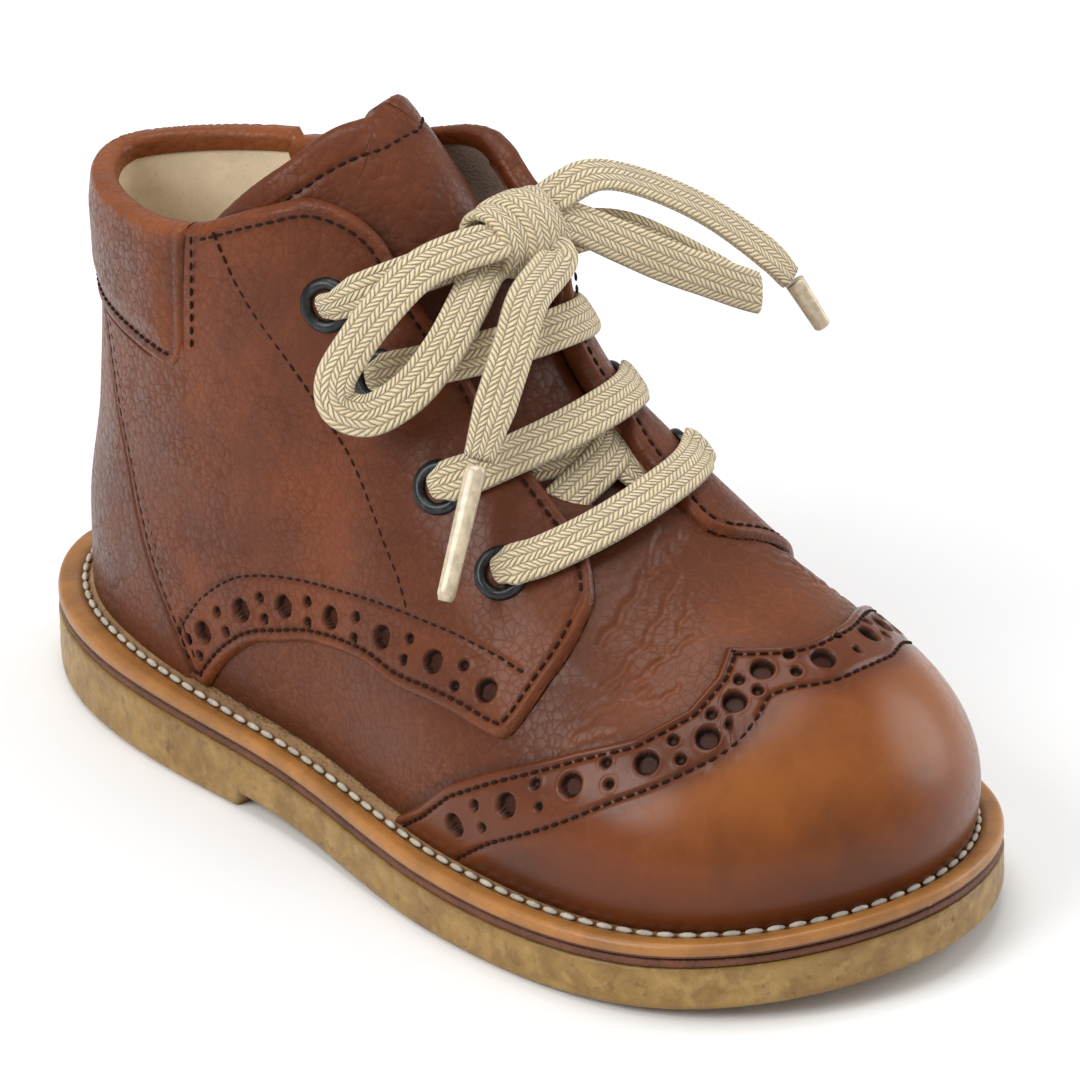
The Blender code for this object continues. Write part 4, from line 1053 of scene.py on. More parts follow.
def stitch_tree():
    """Stitches of one length along every line of a mesh of edges."""
    name = "Stitch rows"
    if name in bpy.data.node_groups:
        return bpy.data.node_groups[name]
    tree = bpy.data.node_groups.new(name, "GeometryNodeTree")
    face = tree.interface
    face.new_socket("Geometry", in_out="INPUT", socket_type="NodeSocketGeometry")
    for label, value in (("Pitch", 0.002), ("Stitch length", 0.0015), ("Thread radius", 0.0003)):
        socket = face.new_socket(label, in_out="INPUT", socket_type="NodeSocketFloat")
        socket.default_value = value
    face.new_socket("Thread", in_out="INPUT", socket_type="NodeSocketMaterial")
    face.new_socket("Geometry", in_out="OUTPUT", socket_type="NodeSocketGeometry")
    g = Graph(tree)
    start = g.add("NodeGroupInput").outputs
    lines = g.add("GeometryNodeMeshToCurve", {0: start["Geometry"]})
    spots = g.add("GeometryNodeCurveToPoints", {"Curve": lines.outputs[0],
                                                "Length": start["Pitch"]}, mode="LENGTH")
    ball = g.add("GeometryNodeMeshUVSphere", {"Segments": 7, "Rings": 5, "Radius": 1.0})
    half = g.math("MULTIPLY", start["Stitch length"], 0.5)
    size = g.add("ShaderNodeCombineXYZ", {0: start["Thread radius"], 1: start["Thread radius"],
                                          2: half})
    thread = g.add("GeometryNodeTransform", {"Geometry": ball.outputs[0],
                                             "Scale": size.outputs[0]})
    row = g.add("GeometryNodeInstanceOnPoints", {
        "Points": spots.outputs["Points"], "Instance": thread.outputs[0],
        "Rotation": spots.outputs["Rotation"]})
    real = g.add("GeometryNodeRealizeInstances", {0: row.outputs[0]})
    smooth = g.add("GeometryNodeSetShadeSmooth", {0: real.outputs[0]})
    finish = g.add("GeometryNodeSetMaterial", {"Geometry": smooth.outputs[0],
                                               "Material": start["Thread"]})
    g.add("NodeGroupOutput", {0: finish.outputs[0]})
    return tree


def sew(name, lines, pitch, length, radius, thread):
    """Stitches along lines given in millimetres, as one plain mesh."""
    points, edges = [], []
    for line in lines:
        start = len(points)
        points.extend(metres(line).tolist())
        edges += [(start + k, start + k + 1) for k in range(len(line) - 1)]
    mesh = bpy.data.meshes.new(name)
    mesh.from_pydata(points, edges, [])
    holder = bpy.data.objects.new(name, mesh)
    bpy.context.scene.collection.objects.link(holder)
    row = holder.modifiers.new("Stitches", "NODES")
    row.node_group = stitch_tree()
    sockets = {s.name: s.identifier for s in row.node_group.interface.items_tree
               if s.item_type == "SOCKET" and s.in_out == "INPUT"}
    row[sockets["Pitch"]] = pitch / 1000
    row[sockets["Stitch length"]] = length / 1000
    row[sockets["Thread radius"]] = radius / 1000
    row[sockets["Thread"]] = thread
    graph = bpy.context.evaluated_depsgraph_get()
    made = bpy.data.meshes.new_from_object(holder.evaluated_get(graph), depsgraph=graph)
    holder.modifiers.clear()
    holder.data = made
    made.name = name
    return holder


def finish_piece(piece, materials, nodes=()):
    for item in materials:
        piece.data.materials.append(item)
    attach(piece, "root")
    if nodes:
        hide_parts(*nodes)
    return piece


# Settings

def colour_property(name, text, value):
    return bpy.props.FloatVectorProperty(
        name=name, description=text, subtype="COLOR", size=3, min=0.0, max=1.0, default=value)


def length_property(name, text, value):
    return bpy.props.FloatProperty(
        name=name, description=text, unit="LENGTH", precision=5, min=0.0, default=value)


class BootSizes(bpy.types.PropertyGroup):
    stitch: length_property("Stitch pitch", "Distance from stitch to stitch on the upper", 0.00158)
    thread: length_property("Thread radius", "Radius of the upper's sewing thread", 0.00022)
    welt_stitch: length_property("Welt pitch", "Distance from stitch to stitch on the welt", 0.0027)
    welt_thread: length_property("Welt thread", "Radius of the welt's thread", 0.00042)
    punch_reach: length_property("Small holes", "Small holes to the strip's middle line", 0.00138)


class BootColours(bpy.types.PropertyGroup):
    brown: colour_property("Leather", "Leather of quarters and vamp", (0.165, 0.039, 0.010))
    # The worn-leather colour also serves for the painted light on the leather
    brown_worn_and_lit: colour_property("Worn leather", "Worn folds and edges", (0.34, 0.100, 0.026))
    brown_dark: colour_property("Dark leather", "Leather in shade and seams", (0.108, 0.027, 0.009))
    toe: colour_property("Toe", "Burnished leather of the wing tip", (0.162, 0.034, 0.004))
    # The toe's light colour also serves for the painted light on its top, and the dark one for the
    # painted shade at its seams, between pebbles and in its holes
    toe_light: colour_property("Toe, light", "Lightest leather of the toe", (0.34, 0.108, 0.020))
    toe_dark: colour_property("Toe, dark", "Leather of the perforated strip", (0.105, 0.025, 0.007))
    # Lining and suede are brighter than the real leather: painted light, standing in for light that
    # hardly reaches into the collar and behind the facings
    lining: colour_property("Lining", "Leather lining", (0.97, 0.80, 0.56))
    suede: colour_property("Suede", "Raw inner side of the facings", (0.46, 0.34, 0.26))
    welt: colour_property("Welt", "Waxed welt leather", (0.43, 0.180, 0.042))
    runner: colour_property("Runner", "Leather layer under the welt", (0.16, 0.050, 0.018))
    crepe: colour_property("Crepe", "Crepe rubber", (0.345, 0.200, 0.048))
    lace: colour_property("Lace", "Cotton lace", (0.84, 0.68, 0.415))
    rim: colour_property("Binding", "Worn leather at the collar's edge", (0.38, 0.200, 0.130))
    metal: colour_property("Eyelets", "Eyelet lacquer", (0.034, 0.035, 0.037))


def sizes():
    return bpy.context.scene.boot_sizes


def colours():
    return bpy.context.scene.boot_colours


def material(name):
    """The finish with this name, made the first time it is asked for."""
    if name in bpy.data.materials:
        return bpy.data.materials[name]
    c = colours()
    makers = {
        "pebbled_leather": lambda: leather(name, c.brown, c.brown_worn_and_lit, c.brown_dark),
        # The vamp is the quarters' leather at 0.74 of its brightness: painted shade over the whole
        # vamp
        "vamp_leather": lambda: leather(name, tuple(0.74 * v for v in c.brown), c.brown_worn_and_lit,
                                        c.brown_dark, folds=0.28),
        "burnished_toe_leather": lambda: leather(name, c.toe, c.toe_light, c.toe_dark, pebbles=620.0,
                                       depth=0.05, rough=(0.26, 0.38), coat=0.42, folds=0.12,
                                       patina=(0.34, 0.60)),
        "binding_leather": lambda: leather(name, c.rim, c.rim, c.brown,
                                           pebbles=1300.0, depth=0.12, folds=0.2),
        "lining_leather": lambda: plain_leather(name, c.lining, tuple(0.86 * v for v in c.lining),
                                                0.62, 1500.0, 0.25, 0.08),
        "suede": lambda: plain_leather(name, c.suede, tuple(0.7 * v for v in c.suede),
                                       0.95, 2600.0, 0.7, 0.2),
        "waxed_welt_leather": lambda: plain_leather(name, c.welt, tuple(0.68 * v for v in c.welt),
                                              0.36, 1300.0, 0.3, 0.10),
        "raw_leather": lambda: plain_leather(name, (0.40, 0.24, 0.11), (0.22, 0.115, 0.05),
                                             0.95, 2100.0, 1.0, 0.45),
        "runner_leather": lambda: plain_leather(name, c.runner, tuple(0.55 * v for v in c.runner),
                                                0.6, 1900.0, 0.8, 0.25),
        "crepe_rubber": lambda: crepe_material(c.crepe, (0.43, 0.27, 0.085), (0.235, 0.125, 0.026)),
        "brown_thread": lambda: thread_material(name, (0.030, 0.010, 0.006), 0.8),
        "welt_thread": lambda: thread_material(name, (0.62, 0.56, 0.46)),
        "suede_thread": lambda: thread_material(name, (0.55, 0.45, 0.33)),
        "lace_cotton_weave": lambda: lace_material(c.lace, tuple(0.44 * v for v in c.lace)),
        "gunmetal_lacquer": lambda: metal_material(c.metal),
        "aglet_film": lambda: aglet_material((0.66, 0.54, 0.37)),
    }
    made = makers[name]()
    made.name = name
    return made


# Sole

def ring_plate(name, rings, feet, marks=None):
    """Solid from (inset, height) rings round the foot, closed by strips across it."""
    foot = np.interp(np.linspace(0, 1, feet), STATION, FOOT)
    line_at = (HEEL_LENGTH - FEATHER.back) / (FEATHER.tip - FEATHER.back)
    foot = np.unique(np.concatenate([foot, [line_at - 0.0015, line_at + 0.0015]]))
    count, total = len(foot), 2 * len(foot) - 2
    points, values = [], []
    for k, (inset, height) in enumerate(rings):
        line = Outline(inset)
        flat = np.vstack([line.at(foot, True), line.at(foot[1:-1], False)[::-1]])
        points.append(np.column_stack([flat, height(flat[:, 0])]))
        values.append(np.full(total, (marks or [0] * len(rings))[k], float))
    faces = []
    for ring in range(len(rings) - 1):
        k = np.arange(total)
        n = (k + 1) % total
        faces += np.stack([ring * total + k, ring * total + n,
                           (ring + 1) * total + n, (ring + 1) * total + k], -1).tolist()
    for ring in (0, len(rings) - 1):
        start = ring * total
        faces.append((start, start + 1, start + total - 1))
        faces.append((start + count - 1, start + count, start + count - 2))
        for k in range(1, count - 2):
            faces.append((start + k, start + k + 1, start + total - k - 1, start + total - k))
    return mesh_piece(name, np.vstack(points), faces, {"shade_and_burnish": np.concatenate(values)})


def make_crepe():
    def side(x, share):
        return tread(x) + (crepe_top(x) - tread(x)) * share

    lumps = [0.0, 0.05, -0.06, 0.04, 0.09, -0.03, 0.05, 0.0, 0.07, -0.04, 0.03]
    rings = [(1.4, tread), (0.75, lambda x: tread(x) + 0.08),
             (0.30, lambda x: tread(x) + 0.40), (0.06, lambda x: tread(x) + 0.95)]
    for k, lump in enumerate(lumps):
        share = 0.20 + 0.78 * k / (len(lumps) - 1)
        rings.append((lump, lambda x, share=share: side(x, share)))
    rings.append((0.35, lambda x: crepe_top(x)))
    # Darkening per ring: towards the tread, and painted shade at the top where the crepe meets the
    # runner
    marks = [0.5, 0.35, 0.2, 0.1] + [0.0] * (len(lumps) - 2) + [0.25, 0.6, 0.8]
    return finish_piece(ring_plate("crepe_sole", rings, 190, marks), [material("crepe_rubber")],
                        ["outsole"])


def make_runner():
    def low(x):
        return crepe_top(x) + 0.05

    rings = [(0.45, low), (0.22, lambda x: low(x) + 0.15), (0.20, lambda x: low(x) + 0.75),
             (0.30, lambda x: low(x) + 1.0), (0.55, lambda x: low(x) + 1.1)]
    return finish_piece(ring_plate("runner", rings, 150), [material("runner_leather")],
                        ["midsole"])


def make_welt():
    """Welt with a rounded edge, a sunk stitch groove and a raw band beside the upper."""
    def low(x):
        return seat(x) - WELT + 0.05

    rings = [
        (0.40, low), (0.10, lambda x: low(x) + 0.12), (0.0, lambda x: low(x) + 0.45),
        (0.0, lambda x: seat(x) - 0.95), (0.10, lambda x: seat(x) - 0.48),
        (0.34, lambda x: seat(x) - 0.17), (0.70, lambda x: seat(x) - 0.02),
        (1.10, lambda x: seat(x) + 0.02),
    ]
    # Painted shade per ring: under the rounded edge where it meets the runner, then in the stitch
    # groove and beside the upper
    marks = [0.9, 0.7, 0.35, 0.05, 0.0, 0.0, 0.0, 0.0]
    groove = [(-3.30, 0.02, 0.0), (-2.85, -0.05, 0.15), (-2.55, -0.30, 0.6),
              (-2.25, -0.52, 0.9), (-1.75, -0.55, 0.9), (-1.45, -0.35, 0.6),
              (-1.20, 0.00, 0.2), (-0.80, 0.22, 0.0), (-0.30, 0.34, 0.0), (0.20, 0.36, 0.3)]
    for beside, rise, shade in groove:
        rings.append((lambda x, beside=beside: feather_margin(x) + beside,
                      lambda x, rise=rise: seat(x) + rise))
        marks.append(shade)
    piece = ring_plate("welt_strip", rings, 230, marks)
    piece.data.materials.append(material("waxed_welt_leather"))
    piece.data.materials.append(material("raw_leather"))
    piece.data.materials.append(material("runner_leather"))
    band = Outline(lambda x: feather_margin(x) - 1.35)
    side = Outline(0.06)
    for face in piece.data.polygons:
        x, y, z = face.center
        at = np.array(x * 1000 + HEEL_CENTRE)
        lateral = y < 0
        foot = (at - band.back) / (band.tip - band.back)
        edge = abs(float(band.at(foot, lateral)[1]))
        rim = abs(float(side.at((at - side.back) / (side.tip - side.back), lateral)[1]))
        inner = abs(y * 1000) < edge and band.back < at < band.tip
        if inner and z * 1000 > float(seat(at)) - 0.45:
            face.material_index = 1
        elif z * 1000 < float(seat(at)) - 1.30 and abs(y * 1000) > rim - 3:
            face.material_index = 2
    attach(piece, "root")
    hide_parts("welt")
    foot = np.interp(np.linspace(0, 1, 500), STATION, FOOT)
    line = Outline(lambda x: feather_margin(x) - 2.0)
    flat = np.vstack([line.at(foot, True), line.at(foot, False)[::-1]])
    route = np.column_stack([flat, seat(flat[:, 0]) - 0.10])
    s = sizes()
    thread = sew("welt_stitches", [dense(route, 0.5)], s.welt_stitch * 1000,
                 s.welt_stitch * 870, s.welt_thread * 1000, material("welt_thread"))
    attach(thread, "root")


def make_insole():
    inside = WALL + GAP + 0.25
    rings = [
        (lambda x: feather_margin(x) + inside, lambda x: seat(x) + GAP),
        (lambda x: feather_margin(x) + inside, lambda x: seat(x) + INSOLE - 0.5),
        (lambda x: feather_margin(x) + inside + 0.15, lambda x: seat(x) + INSOLE),
        (lambda x: feather_margin(x) + inside + 0.6, lambda x: seat(x) + GAP + INSOLE),
        (lambda x: feather_margin(x) + inside + 5.0, lambda x: seat(x) + INSOLE - 0.1),
    ]
    return finish_piece(ring_plate("sock", rings, 90), [material("lining_leather")],
                        ["insole"])


# Upper

def loop_stations(per_side, extra=()):
    side = np.unique(np.concatenate([np.linspace(0, 1, per_side), list(extra)]))
    return np.concatenate([side, 2 - side[-2:0:-1]])


def make_lining():
    """Wall of the upper, cream inside, with a brown binding round the collar."""
    throat = float(station_of((THROAT_END - HEEL_CENTRE) / (TOE_CENTRE - HEEL_CENTRE)))
    near = [throat - d for d in (0.0, 0.002, 0.004, 0.007, 0.011, 0.016, 0.022)]
    w = loop_stations(150, near)
    rows = 56
    high = highest(w, lambda p, lateral: leather_here(p, lateral, THROAT_RECESS))
    high = np.where((w >= throat - 1e-9) & (w <= 2 - throat + 1e-9), 1.0, high)
    t = np.linspace(0, 1, rows)
    v = high[:, None] * (1 - (1 - t) ** 1.25)
    columns = np.broadcast_to(w[:, None], v.shape)
    base, out = surface(columns, v)
    top = base[:, -1]
    rim = np.where((high < 1)[:, None], nearest(base, dense(top[high < 1])), 9.0)
    round_in = 1 - rounded(rim, 0.8)
    sunk = SUNK + (WALL / 2 - SUNK) * round_in
    outer = base - out * sunk[..., None]
    inner = base - out * (WALL - 0.8 * round_in)[..., None]
    inner[:, 0, 2] = base[:, 0, 2]
    count = base[..., 0].size
    points = np.vstack([outer.reshape(-1, 3), inner.reshape(-1, 3)])
    faces = grid_faces(len(w), rows, True).tolist()
    outer_faces = len(faces)
    faces += grid_faces(len(w), rows, True, count)[:, ::-1].tolist()
    inner_faces = len(faces)
    for k in range(len(w)):
        n = (k + 1) % len(w)
        a, b = k * rows, n * rows
        faces.append((a + count, b + count, b, a))
        if high[k] < 1 or high[n] < 1:
            a, b = a + rows - 1, b + rows - 1
            faces.append((a, b, b + count, a + count))
    depth = np.concatenate([rim.ravel(), rim.ravel()])
    mesh = bpy.data.meshes.new("upper_wall")
    mesh.from_pydata(metres(points).tolist(), [], faces)
    kinds = np.zeros(len(faces), np.int32)
    corner = np.array([f[0] for f in faces])
    middle = points[corner]
    inside = np.arange(len(faces)) >= outer_faces
    kinds[inside] = 1
    kinds[inside & (depth[corner] < 1.3)] = 0
    ahead = (middle[:, 0] > 0.30 * LENGTH) & (depth[corner] < 9.0) & (depth[corner] > 1.3)
    kinds[inside & ahead] = 2
    kinds[inner_faces:] = 0
    mesh.polygons.foreach_set("material_index", kinds)
    shape = bmesh.new()
    shape.from_mesh(mesh)
    bmesh.ops.remove_doubles(shape, verts=shape.verts, dist=1e-5)
    bmesh.ops.recalc_face_normals(shape, faces=shape.faces)
    shape.to_mesh(mesh)
    shape.free()
    mesh.shade_smooth()
    piece = bpy.data.objects.new("upper_wall", mesh)
    bpy.context.scene.collection.objects.link(piece)
    return finish_piece(piece, [material("binding_leather"), material("lining_leather"),
                                material("suede")], ["upper"])


def crease_fields(points, side):
    """Depth and lightness of the creases near each point."""
    depth = np.zeros(points.shape[:-1])
    light = np.zeros(points.shape[:-1])
    for f0, v0, f1, v1, f2, v2, deep, wide in CREASES:
        t = np.linspace(0, 1, 60)
        foot = (1 - t) ** 2 * f0 + 2 * t * (1 - t) * f1 + t * t * f2
        share = (1 - t) ** 2 * v0 + 2 * t * (1 - t) * v1 + t * t * v2
        foot = foot + 0.0022 * np.sin(t * 23 + f0 * 90)
        w = station_of(foot) if side < 0 else 2 - station_of(foot)
        line, _ = surface(w, share)
        d = nearest(points, line)
        depth += deep * bump(d, 0, wide * 1.6) - 0.35 * deep * bump(d, wide * 2.6, wide * 1.4)
        light = np.maximum(light, bump(d, 0, wide * 0.55))
    return depth, light


def sheet(name, w, v, lift, marks, turn_in=None):
    """One layer of leather over the upper; turn_in carries it over its upper edge."""
    columns = np.broadcast_to(w[:, None], v.shape)
    base, out = surface(columns, v)
    grid = base + out * lift[..., None]
    if turn_in:
        span = v[:, -1] - v[:, 0]
        length = np.maximum(column_length(w, v[:, 0], v[:, -1]), 4.0)
        extra = []
        for inward, down in turn_in:
            under, away = surface(w, v[:, -1] - span * down / length)
            extra.append((under + away * inward)[:, None])
        grid = np.concatenate([grid] + extra, axis=1)
        marks = {k: np.concatenate([m] + [m[:, -1:]] * len(turn_in), axis=1)
                 for k, m in marks.items()}
    faces = grid_faces(grid.shape[0], grid.shape[1])
    piece = mesh_piece(name, grid.reshape(-1, 3), faces, marks, turn=False)
    shape = bmesh.new()
    shape.from_mesh(piece.data)
    bmesh.ops.remove_doubles(shape, verts=shape.verts, dist=1e-5)
    lowest = min(shape.faces, key=lambda f: f.calc_center_median().z)
    centre = lowest.calc_center_median()
    spine_end = (TOE_CENTRE - HEEL_CENTRE) / 1000
    inside = Vector((min(max(centre.x, 0.0), spine_end), 0, centre.z))
    if (centre - inside).dot(lowest.normal) < 0:
        bmesh.ops.reverse_faces(shape, faces=shape.faces)
    shape.to_mesh(piece.data)
    shape.free()
    return piece


def side_columns(start, end, count, extra=()):
    """Loop stations of columns between two foot shares, with extra ones at given shares."""
    even = np.linspace(float(station_of(start)), float(station_of(end)), count)
    return np.unique(np.concatenate([even, [float(station_of(foot)) for foot in extra]]))


def split_rows(low, high, reach, fine, coarse, from_top):
    """Shares on each column: fine rows over a reach in millimetres beside one edge."""
    span = np.maximum(high - low, 1e-4)
    part = np.clip(reach, 0.02, 0.92)
    a = np.linspace(0, 1, fine + 1)
    b = np.linspace(0, 1, coarse + 1)[1:]
    rows = []
    for k in range(len(low)):
        if from_top:
            t = np.concatenate([(1 - part[k]) * np.linspace(0, 1, coarse + 1)[:-1],
                                1 - part[k] + part[k] * a])
        else:
            t = np.concatenate([part[k] * a, part[k] + (1 - part[k]) * b])
        rows.append(low[k] + span[k] * t)
    return np.array(rows)


def column_length(w, low, high):
    t = np.linspace(0, 1, 12)
    v = low[:, None] + (high - low)[:, None] * t
    base = last(np.broadcast_to(w[:, None], v.shape), v)
    return np.linalg.norm(np.diff(base, axis=1), axis=2).sum(1)


def make_vamp():
    side = side_columns(0.270, 1.0, 300)
    w = np.concatenate([side, 2 - side[-2::-1]])
    foot = foot_of(w)
    low = np.where(foot > WING[0][0], np.maximum(0, wing_edge(w) - 0.05), 0.0)
    under = curve(QUARTER_EDGE, 1, foot) + 0.05
    ramp = under + (1 - under) * ease((foot - 0.655) / 0.045)
    limit = highest(w, lambda p, lateral: leather_here(p, lateral, THROAT_RECESS + 0.2))
    high = np.minimum(ramp, limit)
    high = np.where(foot > 0.84, 1.0, high)
    t = np.linspace(0, 1, 92)
    v = low[:, None] + (high - low)[:, None] * t
    columns = np.broadcast_to(w[:, None], v.shape)
    base, _ = surface(columns, v)
    lateral = (w <= 1)[:, None]
    deep_l, light_l = crease_fields(base, -1)
    deep_m, light_m = crease_fields(base, 1)
    depth = np.where(lateral, deep_l, deep_m)
    light = np.where(lateral, light_l, light_m)
    margin = np.minimum(t, 1 - t)[None, :] + np.zeros_like(v)
    edge = ease(margin / 0.02)
    edge = np.where((high > 0.9999)[:, None] & (t > 0.5)[None, :], 1.0, edge)
    lift = 0.12 * edge - depth - 0.25 * (1 - edge)
    wing_line, _ = surface(w, wing_edge(w))
    # Painted shade beside the wing tip's edge and along the welt
    shade = np.maximum(bump(nearest(base, dense(wing_line[foot > WING[0][0]])), 0, 1.5),
                       bump(v, 0, 0.035))
    feet = foot_of(columns)
    # Painted shade on the instep, under the lace bars
    instep = 1 - ease((base[..., 0] - INSTEP[0]) / (INSTEP[1] - INSTEP[0]))
    shade = np.maximum(shade, 0.95 * instep * ease((v - 0.18) / 0.30))
    # Painted light: the vamp lightens towards the toe, less so on the instep
    painted_light = 0.55 * ease((feet - 0.66) / 0.16) * (1 - 0.8 * instep)
    piece = sheet("vamp", w, v, lift, {"crease": light, "shade_and_burnish": shade, "hole": 0 * v,
                                       "painted_light": 0.35 * painted_light})
    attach(piece, "root")
    piece.data.materials.append(material("vamp_leather"))


def wing_holes():
    large, outs = [], []
    rows = WING_HOLES
    route = [(-1, f, a) for f, a, _ in rows] + [(1, f, b) for f, _, b in reversed(rows[:-1])]
    for side, foot, share in route:
        point, out = place(foot, share, side)
        if large and np.linalg.norm(np.array(point) - large[-1]) < HOLE_SPACING:
            continue
        large.append(np.array(point))
        outs.append(np.array(out))
    return large, pairs_between(large, outs, sizes().punch_reach * 1000)


def make_toe_cap():
    start = WING[0][0]
    side = side_columns(start, 1.0, 265, [row[0] for row in WING[1:-1]])
    w = np.concatenate([side, 2 - side[-2::-1]])
    high = wing_edge(w)
    low = np.zeros(len(w))
    reach = 10.5 / np.maximum(column_length(w, low, high), 1.0)
    v = split_rows(low, high, reach, 40, 16, True)
    columns = np.broadcast_to(w[:, None], v.shape)
    base, _ = surface(columns, v)
    edge_line, _ = surface(w, high)
    edge = nearest(base, dense(edge_line))
    stitch_foot = np.linspace(WING_STITCH[0][0], 1.0, 500)
    seams = [surface(station_of(stitch_foot), curve(WING_STITCH, 1, stitch_foot)),
             surface(2 - station_of(stitch_foot), curve(WING_STITCH, 2, stitch_foot))]
    lower = nearest(base, np.vstack([dense(line) for line, _ in seams]))
    large, small = wing_holes()
    depth, hole = perforate(base, large, small)
    strip = edge < 9.5
    lift = -0.12 + (OUT + 0.12) * rounded(edge, 0.75)
    lift += 0.10 * bump(edge, 0.75, 0.4) - 0.24 * bump(edge, 1.45, 0.38)
    lift -= 0.26 * bump(lower, 0, 0.42)
    lift = lift - np.where(strip, depth, 0)
    feet = foot_of(columns)
    inside = ease((lower - 0.3) / 2.5) * (v < np.where(
        (w <= 1)[:, None], curve(WING_STITCH, 1, feet), curve(WING_STITCH, 2, feet)))
    inside = np.where(feet < WING_STITCH[0][0], 0, inside)
    # Painted shade at the stitch rows and above the welt; darker also over the perforated strip and
    # towards the back of the cap
    shade_and_burnish = np.maximum(0.9 * bump(lower, 0, 0.7), 0.8 * bump(edge, 1.45, 0.5))
    shade_and_burnish = np.maximum(shade_and_burnish, 0.50 * (1 - inside))
    shade_and_burnish = np.maximum(shade_and_burnish, 0.62 * bump(v, 0, 0.13) + 0.55 * bump(feet, 0.70, 0.12) * inside)
    shade_and_burnish = np.maximum(shade_and_burnish, 0.50 * bump(lower, 0, 2.6))
    # Painted light on the top of the toe
    top = bump(feet, 0.95, 0.09) * bump(v, 0.40, 0.20)
    piece = sheet("wing_tip", w, v, lift, {"crease": 0 * v, "shade_and_burnish": np.clip(shade_and_burnish, 0, 1),
                                           "hole": hole, "painted_light": 0.75 * top * inside})
    finish_piece(piece, [material("burnished_toe_leather")], ["toe_cap"])
    edge_row = inside_line(w[2:-2], high[2:-2], -1, 1.45, OUT - 0.10)
    rows = [dense(line + outs * (OUT - 0.12), 0.4) for line, outs in seams]
    return [dense(edge_row, 0.4)] + rows


def seam_height(foot):
    return BALL_SEAT + COLLAR_RISE * curve(COUNTER_SEAM, 1, foot)


FACING_SEAM = [
    # share of LENGTH, height over the floor
    (0.311, 75.6), (0.333, 70.6), (0.353, 67.2), (0.389, 62.2), (0.427, 57.2),
    (0.473, 51.9), (0.494, 49.0), (0.529, 43.6), (0.551, 40.2), (0.566, 37.4),
]


